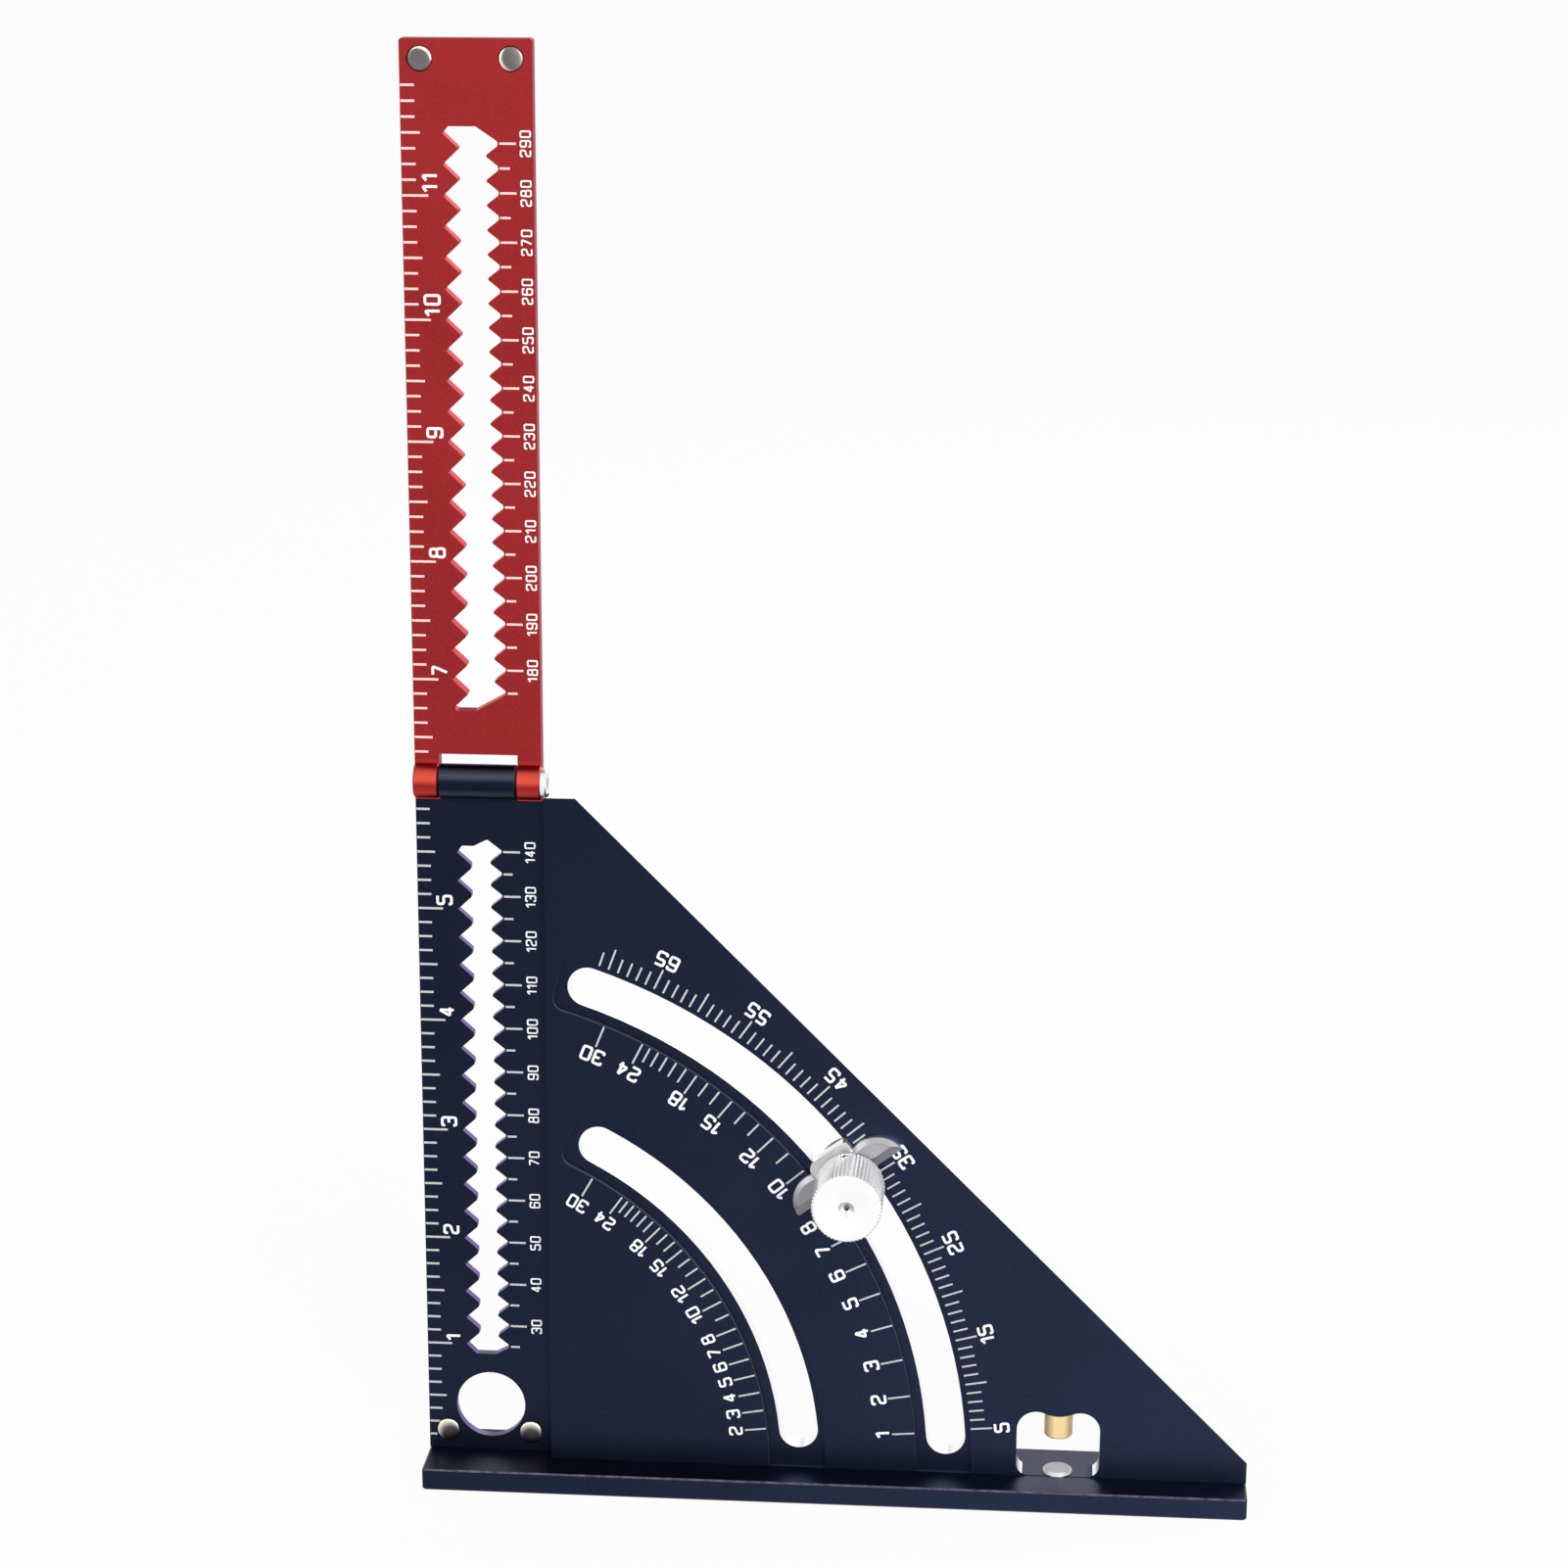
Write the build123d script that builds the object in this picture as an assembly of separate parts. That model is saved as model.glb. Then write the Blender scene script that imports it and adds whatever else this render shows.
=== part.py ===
from build123d import *
import math
import os

# Folding rafter square with a clamped angle stop, in millimetres and degrees.
#
# Working frame: X runs along the fence from the ruling edge, Y from the plate's front
# face to its back, and Z up from the fence's top face, so X = Z = 0 is the corner that
# every scale and both arc slots are laid out from. At the end the whole square is moved
# so that its origin lies in the middle of the fence's underside.

# --- plate, strip and fence -------------------------------------------------------
PLATE_THICKNESS = 6.0
STRIP_THICKNESS = 2.2  # the ruling strip that the folded blade lies on
STRIP_WIDTH = 28.2
SHOULDER_RISE = 1.8  # plate's top above the strip's top
TOP_LAND = 6.85  # level top of the plate, between the strip and the sloping edge
TOE_HEIGHT = 4.85  # upright end of the plate, above the fence
FENCE_LENGTH = 183.4
FENCE_WIDTH = 24.0
FENCE_THICKNESS = 5.0
FENCE_EDGE_CHAMFER = 0.4
FENCE_CORNER_RADIUS = 0.9

# --- hinge ------------------------------------------------------------------------
HINGE_HEIGHT = 155.6  # hinge axis above the fence's top
FOLD_GAP = 0.1  # blade to strip when folded
KNUCKLE_TO_STRIP = 0.45
KNUCKLE_SIDE_GAP = 0.1
KNUCKLE_EDGE = 0.25
BODY_KNUCKLE_LEFT = 5.4
BODY_KNUCKLE_RIGHT = 22.15
HEEL_GAP = 0.05  # blade's heel above the strip's top, its stop when open
SCREW_RADIUS = 1.75
SCREW_HEAD_RADIUS = 3.3
SCREW_HEAD_HEIGHT = 1.3
SCREW_HEAD_EDGE = 0.3
SCREW_SOCKET_RADIUS = 1.4
SCREW_SOCKET_SIDES = 6
SCREW_SOCKET_DEPTH = 0.8
SCREW_END_WALL = 1.2  # solid metal left of the screw's end
RUNNING_FIT = 0.05
THREAD_FIT = 0.02
SCREW_HEAD_RELIEF = 0.4
SCREW_RELIEF_DEPTH = 0.4

# --- folding blade ----------------------------------------------------------------
BLADE_WIDTH = 27.4
BLADE_THICKNESS = 3.7
BLADE_TO_FENCE = 0.27  # folded blade's end above the fence
BLADE_CORNER_RADIUS = 0.6
BLADE_NOTCH_RISE = 5.9  # notch round the body's knuckle, above the hinge axis

# --- toothed scribing slots -------------------------------------------------------
INCH_STEP = 6.35  # a quarter inch
METRIC_STEP = 5.0
SLOT_CORNER_RADIUS = 0.5

STRIP_LEFT_NOTCH = 8.8
STRIP_LEFT_TIP = 11.75
STRIP_LEFT_FLAT = 1.0  # blunt tips of the inch teeth
STRIP_RIGHT_TIP = 16.05
STRIP_RIGHT_FLAT = 0.4  # narrower ones of the metric teeth
STRIP_RIGHT_NOTCH = 18.9
STRIP_NOTCH_RADIUS = 0.6
STRIP_SLOT_ABOVE_HOLE = 6.0
STRIP_SLOT_BELOW_TOP = 11.0
STRIP_FOOT_DROP = 1.9
STRIP_FOOT_LEFT = 11.1
STRIP_FOOT_RIGHT = 15.4
STRIP_HEAD_RISE = 1.2
STRIP_HEAD_LEFT = 9.9
STRIP_HEAD_RIGHT = 12.4
STRIP_PEAK_X = 15.4
STRIP_PEAK_RISE = 2.7

BLADE_LEFT_NOTCH = 8.5
BLADE_LEFT_TIP = 11.6
BLADE_LEFT_FLAT = 0.5
BLADE_RIGHT_TIP = 17.65
BLADE_RIGHT_FLAT = 0.4
BLADE_RIGHT_NOTCH = 20.6
BLADE_NOTCH_RADIUS = 0.8
BLADE_SLOT_ABOVE_HINGE = 15.6
BLADE_SLOT_BELOW_END = 18.5
BLADE_FOOT_DROP = 0.5
BLADE_FOOT_LEFT = 9.5
BLADE_FOOT_RIGHT = 13.3
BLADE_HEAD_RISE = 1.3
BLADE_HEAD_LEFT = 9.7
BLADE_HEAD_RIGHT = 15.5

# --- hanging hole and magnets -----------------------------------------------------
HOLE_RADIUS = 7.75
HOLE_HEIGHT = 10.9
MAGNET_RADIUS = 2.6
MAGNET_THICKNESS = 1.5
MAGNET_LEFT = 4.2  # from the ruling edge
MAGNET_TO_BLADE_SIDE = 4.4  # right magnets to the blade's right side
MAGNET_HEIGHT = 4.3
GLUE_FIT = 0.05

# --- arc slots --------------------------------------------------------------------
OUTER_SLOT_TO_EDGE = 16.143  # outer slot's centre line to the sloping edge
OUTER_SLOT_WIDTH = 8.7
OUTER_SLOT_START_ANGLE = 4.1
OUTER_SLOT_END_ANGLE = 71.45
OUTER_POCKET_INSIDE = 2.4  # pocket's width beyond the slot, towards the corner
OUTER_POCKET_OUTSIDE = 1.15
SLOT_SPACING = 32.72  # between the two slots' centre lines
INNER_SLOT_WIDTH = 8.65
INNER_SLOT_START_ANGLE = 5.9
INNER_SLOT_END_ANGLE = 62.2
INNER_POCKET_INSIDE = 2.6
INNER_POCKET_OUTSIDE = 1.25
POCKET_DEPTH = 1.1
POCKET_BEYOND_SLOT = 2.2
POCKET_CORNER_RADIUS = 2.6
POCKET_FOOT = 3.0  # height up to which the pockets' walls stand upright

# --- angle stop -------------------------------------------------------------------
STOP_ANGLE = 35.75
STOP_THICKNESS = 2.4
STOP_LIFT = 0.05  # under the stop, the knob and the clamp disc
WING_OFFSET = 7.3
WING_RADIUS = 6.6
WING_BEVEL = 1.0
INDEX_BEVEL_WIDTH = 2.3
INDEX_EDGE_THICKNESS = 0.6
HUB_RADIUS = 6.5
TONGUE_LENGTH = 8.9
TONGUE_OUTER_GAP = 0.25
TONGUE_INNER_GAP = 1.25
TONGUE_FLOOR_GAP = 0.1
TONGUE_INNER_CORNER = 2.6
TONGUE_OUTER_CORNER = 0.8
GUIDE_GAP = 0.1
GUIDE_DEPTH = 2.6  # guide boss below the plate's front face

# --- knob, stud and clamp disc ----------------------------------------------------
KNOB_RADIUS = 7.65
KNOB_HEIGHT = 15.5
KNOB_EDGE = 0.5
KNOB_CENTRE_RADIUS = 1.65
KNOB_CENTRE_DEPTH = 1.2
KNOB_PILOT_RADIUS = 0.6
KNOB_PILOT_DEPTH = 2.0
STUD_RADIUS = 2.0
STUD_IN_KNOB = 9.5
STUD_END_INSET = 0.2
GRUB_RADIUS = 0.9
GRUB_HEIGHT = 1.5  # above the knob's base
GRUB_INSET = 0.35
GRUB_ANGLE = 64.5  # from the stop's radial line
GRUB_DIMPLE_RADIUS = 0.45
GRUB_DIMPLE_DEPTH = 0.8
DISC_RADIUS = 7.6
DISC_THICKNESS = 2.6
DISC_EDGE = 0.5
DISC_BOSS_RADIUS = 4.5
DISC_BOSS_LENGTH = 3.0

# --- window with the brass stud and the steel button ------------------------------
WINDOW_BEYOND_SLOT = 24.68  # window's middle past the outer slot's centre line
WINDOW_FLOOR = 0.1  # above the fence's top
LOBE_OFFSET = 4.9
LOBE_RADIUS = 4.3
LOBE_HEIGHT = 11.1
DIP_HEIGHT = 14.4
WINDOW_CORNER_RADIUS = 2.8
BRASS_RADIUS = 3.15  # a little over half the plate's thickness, so flat front and back
BRASS_BOTTOM = 8.9
BRASS_EDGE = 0.4
BRASS_SEAT_GAP = 0.05
SHANK_RADIUS = 1.5
SHANK_LENGTH = 6.0
BUTTON_RADIUS = 3.25
BUTTON_RISE = 0.8  # above the window's floor
BUTTON_EDGE = 0.3
BUTTON_SUNK = 1.5

# --- sizes that follow ------------------------------------------------------------
RECESS_DEPTH = PLATE_THICKNESS - STRIP_THICKNESS
SLOPE_START = STRIP_WIDTH + TOP_LAND
HINGE_DEPTH = RECESS_DEPTH - FOLD_GAP / 2
KNUCKLE_RADIUS = BLADE_THICKNESS + FOLD_GAP / 2
BLADE_BACK = RECESS_DEPTH + BLADE_THICKNESS
STRIP_TOP = HINGE_HEIGHT - KNUCKLE_RADIUS - KNUCKLE_TO_STRIP
PLATE_TOP = STRIP_TOP + SHOULDER_RISE
BLADE_TOP = 2 * HINGE_HEIGHT - BLADE_TO_FENCE
BLADE_MAGNET_HEIGHT = 2 * HINGE_HEIGHT - MAGNET_HEIGHT
FENCE_FRONT = (PLATE_THICKNESS - FENCE_WIDTH) / 2
EDGE_RISE = PLATE_TOP - TOE_HEIGHT
EDGE_RUN = FENCE_LENGTH - SLOPE_START
EDGE_REACH = (FENCE_LENGTH * PLATE_TOP - SLOPE_START * TOE_HEIGHT) / math.hypot(EDGE_RISE, EDGE_RUN)
OUTER_SLOT_RADIUS = EDGE_REACH - OUTER_SLOT_TO_EDGE
INNER_SLOT_RADIUS = OUTER_SLOT_RADIUS - SLOT_SPACING
WINDOW_X = OUTER_SLOT_RADIUS + WINDOW_BEYOND_SLOT
MAGNET_RIGHT = BLADE_WIDTH - MAGNET_TO_BLADE_SIDE
HOLE_X = STRIP_WIDTH / 2
HEEL_BOTTOM = STRIP_TOP + HEEL_GAP
KNOB_BASE = STOP_THICKNESS + 2 * STOP_LIFT  # above the plate's front face
KNOB_FACE = KNOB_BASE + KNOB_HEIGHT
DISC_FRONT = PLATE_THICKNESS + STOP_LIFT
DISC_BACK = DISC_FRONT + DISC_THICKNESS
PLATE_MIDDLE = PLATE_THICKNESS / 2
BORE_RADIUS = SCREW_RADIUS + RUNNING_FIT

ORIGIN = Pos(-FENCE_LENGTH / 2, -PLATE_MIDDLE, FENCE_THICKNESS)


def slab(outline, front, back):
    """Solid whose outline lies in X and Z, between two depths."""
    return extrude(Plane.XZ.offset(-front) * outline, amount=back - front, dir=(0, 1, 0))


def bar(section, left, right):
    """Solid whose section lies in Y and Z, between two places along X."""
    return extrude(Plane.YZ.offset(left) * section, amount=right - left, dir=(1, 0, 0))


def block(left, right, front, back, bottom, top):
    """Square block between three pairs of faces."""
    size = (right - left, back - front, top - bottom)
    return Pos(left, front, bottom) * Box(*size, align=(Align.MIN, Align.MIN, Align.MIN))


def tower(outline, low, high):
    """Solid whose outline lies in its own X and Y, between two heights."""
    return extrude(Pos(0, 0, low) * outline, amount=high - low, dir=(0, 0, 1))


def rod(radius, low, high):
    """Round rod along its own Z, between two heights."""
    return tower(Circle(radius), low, high)


# --- toothed slots ----------------------------------------------------------------
def toothed_edge(step, low, high, notch, notch_radius, tip, flat):
    """Upward row of (X, Z, radius): a notch at each whole step, a blunt tip midway to the next."""
    first = math.ceil(low / step)
    last = math.floor(high / step)
    row = [(notch, first * step, notch_radius)]
    for number in range(first + 1, last + 1):
        middle = (number - 1 / 2) * step
        row.append((tip, middle - flat / 2, 0))
        row.append((tip, middle + flat / 2, 0))
        row.append((notch, number * step, notch_radius))
    return row


def toothed_outline(left_row, right_row, head, foot):
    """Closed outline up the left row, over the head, down the right row to the foot."""
    corners = left_row + head + right_row[::-1] + foot
    points = [(x, z) for x, z, radius in corners]
    radii = [radius for x, z, radius in corners]
    return make_face(FilletPolyline(*points, radius=radii, close=True))


def strip_slot_outline():
    """Strip's slot: inch notches on its left, metric notches on its right."""
    low = HOLE_HEIGHT + HOLE_RADIUS + STRIP_SLOT_ABOVE_HOLE
    high = STRIP_TOP - STRIP_SLOT_BELOW_TOP
    inch = (STRIP_LEFT_NOTCH, 0, STRIP_LEFT_TIP, STRIP_LEFT_FLAT)
    metric = (STRIP_RIGHT_NOTCH, STRIP_NOTCH_RADIUS, STRIP_RIGHT_TIP, STRIP_RIGHT_FLAT)
    left = toothed_edge(INCH_STEP, low, high, *inch)
    right = toothed_edge(METRIC_STEP, low, high, *metric)
    top = max(left[-1][1], right[-1][1])
    bottom = min(left[0][1], right[0][1])
    head = [
        (STRIP_HEAD_LEFT, top + STRIP_HEAD_RISE, SLOT_CORNER_RADIUS),
        (STRIP_HEAD_RIGHT, top + STRIP_HEAD_RISE, SLOT_CORNER_RADIUS),
        (STRIP_PEAK_X, top + STRIP_PEAK_RISE, SLOT_CORNER_RADIUS),
    ]
    foot = [
        (STRIP_FOOT_RIGHT, bottom - STRIP_FOOT_DROP, SLOT_CORNER_RADIUS),
        (STRIP_FOOT_LEFT, bottom - STRIP_FOOT_DROP, SLOT_CORNER_RADIUS),
    ]
    return toothed_outline(left, right, head, foot)


def blade_slot_outline():
    """Blade's slot, whose notches carry the strip's two scales on."""
    low = HINGE_HEIGHT + BLADE_SLOT_ABOVE_HINGE
    high = BLADE_TOP - BLADE_SLOT_BELOW_END
    inch = (BLADE_LEFT_NOTCH, 0, BLADE_LEFT_TIP, BLADE_LEFT_FLAT)
    metric = (BLADE_RIGHT_NOTCH, BLADE_NOTCH_RADIUS, BLADE_RIGHT_TIP, BLADE_RIGHT_FLAT)
    left = toothed_edge(INCH_STEP, low, high, *inch)
    right = toothed_edge(METRIC_STEP, low, high, *metric)
    top = max(left[-1][1], right[-1][1])
    bottom = min(left[0][1], right[0][1])
    head = [
        (BLADE_HEAD_LEFT, top + BLADE_HEAD_RISE, SLOT_CORNER_RADIUS),
        (BLADE_HEAD_RIGHT, top + BLADE_HEAD_RISE, SLOT_CORNER_RADIUS),
    ]
    foot = [
        (BLADE_FOOT_RIGHT, bottom - BLADE_FOOT_DROP, 0),
        (BLADE_FOOT_LEFT, bottom - BLADE_FOOT_DROP, 0),
    ]
    return toothed_outline(left, right, head, foot)


# --- plate cut-outs ---------------------------------------------------------------
def plate_outline():
    """Plate: stepped top left, sloping edge at 45 degrees, short upright toe."""
    corners = [
        (0, 0),
        (0, STRIP_TOP),
        (STRIP_WIDTH, STRIP_TOP),
        (STRIP_WIDTH, PLATE_TOP),
        (SLOPE_START, PLATE_TOP),
        (FENCE_LENGTH, TOE_HEIGHT),
        (FENCE_LENGTH, 0),
    ]
    return Polygon(*corners, align=None)


def arc_slot(radius, width, start, end):
    """Arc slot about the corner, with round ends."""
    return SlotArc(CenterArc((0, 0), radius, start, end - start), width)


def outer_slot():
    """Slot that the angle stop is clamped through."""
    angles = (OUTER_SLOT_START_ANGLE, OUTER_SLOT_END_ANGLE)
    return arc_slot(OUTER_SLOT_RADIUS, OUTER_SLOT_WIDTH, *angles)


def inner_slot():
    """Slot nearer the corner."""
    angles = (INNER_SLOT_START_ANGLE, INNER_SLOT_END_ANGLE)
    return arc_slot(INNER_SLOT_RADIUS, INNER_SLOT_WIDTH, *angles)


def pocket_outline(inner, outer, slot_radius, slot_end, slot_width):
    """Ring sector on two upright feet, with a square end past the slot's end."""
    beyond = slot_width / 2 + POCKET_BEYOND_SLOT
    end = slot_end + math.degrees(beyond / slot_radius)
    inner_foot = math.degrees(math.asin(POCKET_FOOT / inner))
    outer_foot = math.degrees(math.asin(POCKET_FOOT / outer))
    left, _ = lane_point(inner, inner_foot)
    right, _ = lane_point(outer, outer_foot)
    sector = make_face(
        [
            CenterArc((0, 0), inner, inner_foot, end - inner_foot),
            CenterArc((0, 0), outer, outer_foot, end - outer_foot),
            Line(lane_point(inner, end), lane_point(outer, end)),
            Polyline((left, POCKET_FOOT), (left, 0), (right, 0), (right, POCKET_FOOT)),
        ]
    )
    upper = sector.vertices().sort_by_distance(lane_point((inner + outer) / 2, end))[:2]
    return fillet(upper, POCKET_CORNER_RADIUS)


def lane_point(radius, angle):
    """Point at a radius and angle about the corner."""
    turn = math.radians(angle)
    return (radius * math.cos(turn), radius * math.sin(turn))


def outer_pocket():
    """Inner and outer radius of the pocket that guides the angle stop."""
    half = OUTER_SLOT_WIDTH / 2
    return (
        OUTER_SLOT_RADIUS - half - OUTER_POCKET_INSIDE,
        OUTER_SLOT_RADIUS + half + OUTER_POCKET_OUTSIDE,
    )


def inner_pocket():
    """Inner and outer radius of the pocket round the inner slot."""
    half = INNER_SLOT_WIDTH / 2
    return (
        INNER_SLOT_RADIUS - half - INNER_POCKET_INSIDE,
        INNER_SLOT_RADIUS + half + INNER_POCKET_OUTSIDE,
    )


def window_outline():
    """Window: round shoulders, a dip midway along its roof, round lower corners."""
    rise = DIP_HEIGHT - LOBE_HEIGHT
    spread = LOBE_OFFSET**2 + rise**2 - LOBE_RADIUS**2
    dip_radius = spread / (2 * (LOBE_RADIUS - rise))
    reach = LOBE_RADIUS / (LOBE_RADIUS + dip_radius)
    join_x = LOBE_OFFSET * (1 - reach)
    join_z = LOBE_HEIGHT + (rise + dip_radius) * reach
    width = 2 * (LOBE_OFFSET + LOBE_RADIUS)
    height = LOBE_HEIGHT - WINDOW_FLOOR
    lower = Pos(0, WINDOW_FLOOR + height / 2) * Rectangle(width, height)
    lower = fillet(lower.vertices().sort_by(Axis.Y)[:2], WINDOW_CORNER_RADIUS)
    middle = Polygon(
        (-LOBE_OFFSET, LOBE_HEIGHT),
        (LOBE_OFFSET, LOBE_HEIGHT),
        (join_x, join_z),
        (-join_x, join_z),
        align=None,
    )
    lobes = Pos(-LOBE_OFFSET, LOBE_HEIGHT) * Circle(LOBE_RADIUS)
    lobes += Pos(LOBE_OFFSET, LOBE_HEIGHT) * Circle(LOBE_RADIUS)
    dip = Pos(0, DIP_HEIGHT + dip_radius) * Circle(dip_radius)
    return Pos(WINDOW_X, 0) * (lower + lobes + middle - dip)


# --- the square's own pieces ------------------------------------------------------
def magnet_seats(height):
    """Centres in X and Z of the two magnets at a height."""
    return [(MAGNET_LEFT, height), (MAGNET_RIGHT, height)]


def fence():
    """Fence bar, its corners rounded and its top and bottom rims broken."""
    back = FENCE_FRONT + FENCE_WIDTH
    shape = block(0, FENCE_LENGTH, FENCE_FRONT, back, -FENCE_THICKNESS, 0)
    shape = fillet(shape.edges().filter_by(Axis.Z), FENCE_CORNER_RADIUS)
    rims = [shape.faces().sort_by(Axis.Z)[0], shape.faces().sort_by(Axis.Z)[-1]]
    return chamfer([edge for face in rims for edge in face.edges()], FENCE_EDGE_CHAMFER)


def knuckle(left, right):
    """Hinge barrel between two places along the hinge axis, its rims broken."""
    barrel = bar(Pos(HINGE_DEPTH, HINGE_HEIGHT) * Circle(KNUCKLE_RADIUS), left, right)
    return chamfer(barrel.edges().filter_by(GeomType.CIRCLE), KNUCKLE_EDGE)


def square_body():
    """Plate, ruling strip, fence and middle hinge barrel in one piece."""
    body = slab(plate_outline(), 0, PLATE_THICKNESS)
    body -= block(0, STRIP_WIDTH, 0, RECESS_DEPTH, 0, STRIP_TOP)
    for opening in (outer_slot(), inner_slot(), window_outline(), strip_slot_outline()):
        body -= slab(opening, 0, PLATE_THICKNESS)
    body -= slab(Pos(HOLE_X, HOLE_HEIGHT) * Circle(HOLE_RADIUS), 0, PLATE_THICKNESS)
    outer = (OUTER_SLOT_RADIUS, OUTER_SLOT_END_ANGLE, OUTER_SLOT_WIDTH)
    inner = (INNER_SLOT_RADIUS, INNER_SLOT_END_ANGLE, INNER_SLOT_WIDTH)
    body -= slab(pocket_outline(*outer_pocket(), *outer), 0, POCKET_DEPTH)
    body -= slab(pocket_outline(*inner_pocket(), *inner), 0, POCKET_DEPTH)
    body += fence()
    body += knuckle(BODY_KNUCKLE_LEFT, BODY_KNUCKLE_RIGHT)
    body += block(
        BODY_KNUCKLE_LEFT + KNUCKLE_EDGE,
        BODY_KNUCKLE_RIGHT - KNUCKLE_EDGE,
        RECESS_DEPTH,
        PLATE_THICKNESS,
        STRIP_TOP,
        HINGE_HEIGHT,
    )
    bore = Pos(HINGE_DEPTH, HINGE_HEIGHT) * Circle(BORE_RADIUS)
    body -= bar(bore, BODY_KNUCKLE_LEFT, BODY_KNUCKLE_RIGHT)
    relief = Pos(HINGE_DEPTH, HINGE_HEIGHT) * Circle(SCREW_HEAD_RADIUS + SCREW_HEAD_RELIEF)
    relief_end = BLADE_WIDTH + SCREW_HEAD_HEIGHT + SCREW_RELIEF_DEPTH
    body -= bar(relief, STRIP_WIDTH, relief_end)
    for x, z in magnet_seats(MAGNET_HEIGHT):
        seat = Pos(x, z) * Circle(MAGNET_RADIUS + GLUE_FIT)
        body -= slab(seat, RECESS_DEPTH, RECESS_DEPTH + MAGNET_THICKNESS)
    window_middle = Pos(WINDOW_X, PLATE_MIDDLE, 0)
    shank_top = DIP_HEIGHT + SHANK_LENGTH
    body -= window_middle * rod(SHANK_RADIUS + THREAD_FIT, DIP_HEIGHT, shank_top)
    body -= window_middle * rod(BUTTON_RADIUS + GLUE_FIT, -BUTTON_SUNK, WINDOW_FLOOR)
    return body


def fold_blade():
    """Blade with its two hinge barrels and the square heel that stops it open."""
    blade = block(0, BLADE_WIDTH, RECESS_DEPTH, BLADE_BACK, HEEL_BOTTOM, BLADE_TOP)
    ends = blade.edges().filter_by(Axis.Y).group_by(Axis.Z)[-1]
    blade = fillet(ends, BLADE_CORNER_RADIUS)
    blade -= slab(blade_slot_outline(), RECESS_DEPTH, BLADE_BACK)
    notch_left = BODY_KNUCKLE_LEFT - KNUCKLE_SIDE_GAP
    notch_right = BODY_KNUCKLE_RIGHT + KNUCKLE_SIDE_GAP
    notch_top = HINGE_HEIGHT + BLADE_NOTCH_RISE
    blade += knuckle(0, notch_left)
    blade += knuckle(notch_right, BLADE_WIDTH)
    blade -= block(notch_left, notch_right, RECESS_DEPTH, BLADE_BACK, HEEL_BOTTOM, notch_top)
    bore = Pos(HINGE_DEPTH, HINGE_HEIGHT) * Circle(BORE_RADIUS)
    blade -= bar(bore, SCREW_END_WALL, BLADE_WIDTH)
    for x, z in magnet_seats(BLADE_MAGNET_HEIGHT):
        seat = Pos(x, z) * Circle(MAGNET_RADIUS + GLUE_FIT)
        blade -= slab(seat, RECESS_DEPTH, RECESS_DEPTH + MAGNET_THICKNESS)
    return blade


def hinge_screw():
    """Shoulder screw along the hinge axis, its thin head at the blade's right."""
    head_end = BLADE_WIDTH + SCREW_HEAD_HEIGHT
    shaft = bar(Circle(SCREW_RADIUS), SCREW_END_WALL, BLADE_WIDTH)
    head = bar(Circle(SCREW_HEAD_RADIUS), BLADE_WIDTH, head_end)
    head = chamfer(head.faces().sort_by(Axis.X)[-1].edges(), SCREW_HEAD_EDGE)
    hexagon = RegularPolygon(SCREW_SOCKET_RADIUS, SCREW_SOCKET_SIDES)
    socket = bar(hexagon, head_end - SCREW_SOCKET_DEPTH, head_end)
    return Pos(0, HINGE_DEPTH, HINGE_HEIGHT) * (shaft + head - socket)


def magnet(place):
    """Disc magnet, flush with the face it is set in."""
    x, z = place
    disc = Pos(x, z) * Circle(MAGNET_RADIUS)
    return slab(disc, RECESS_DEPTH, RECESS_DEPTH + MAGNET_THICKNESS)


# --- angle stop and clamp: X radial, Y along the slot, Z away from the plate --------
def stop_place():
    """Where the clamp's axis stands on the outer slot's centre line."""
    x, z = lane_point(OUTER_SLOT_RADIUS, STOP_ANGLE)
    along = lane_point(1, STOP_ANGLE)
    return Plane((x, 0, z), x_dir=(along[0], 0, along[1]), z_dir=(0, -1, 0)).location


def tongue_outline():
    """Key that follows the pocket's two walls, ahead of the clamp's axis."""
    inner, outer = outer_pocket()
    corner = Pos(-OUTER_SLOT_RADIUS, 0)
    ring = corner * Circle(outer - TONGUE_OUTER_GAP)
    ring -= corner * Circle(inner + TONGUE_INNER_GAP)
    reach = Pos(0, TONGUE_LENGTH / 2) * Rectangle(4 * HUB_RADIUS, TONGUE_LENGTH)
    tongue = ring & reach
    far = tongue.vertices().group_by(Axis.Y)[-1].sort_by(Axis.X)
    tongue = fillet(far[0], TONGUE_INNER_CORNER)
    outer_corner = tongue.vertices().group_by(Axis.Y)[-1].sort_by(Axis.X)[-1]
    return fillet(outer_corner, TONGUE_OUTER_CORNER)


def wing():
    """Half disc beside the hub, rim bevelled, with a thin index edge on its straight side."""
    top = STOP_LIFT + STOP_THICKNESS
    half = Pos(0, WING_RADIUS / 2) * Rectangle(2 * WING_RADIUS, WING_RADIUS)
    outline = Pos(WING_OFFSET, 0) * (Circle(WING_RADIUS) & half)
    shape = tower(outline, STOP_LIFT, top)
    rim = shape.edges().filter_by(GeomType.CIRCLE).sort_by(Axis.Z)[-1]
    shape = chamfer(rim, WING_BEVEL)
    low_edge = STOP_LIFT + INDEX_EDGE_THICKNESS
    wedge = Polygon((0, low_edge), (0, top), (INDEX_BEVEL_WIDTH, top), align=None)
    reach = WING_OFFSET + WING_RADIUS
    return shape - bar(wedge, HUB_RADIUS, reach)


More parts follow.
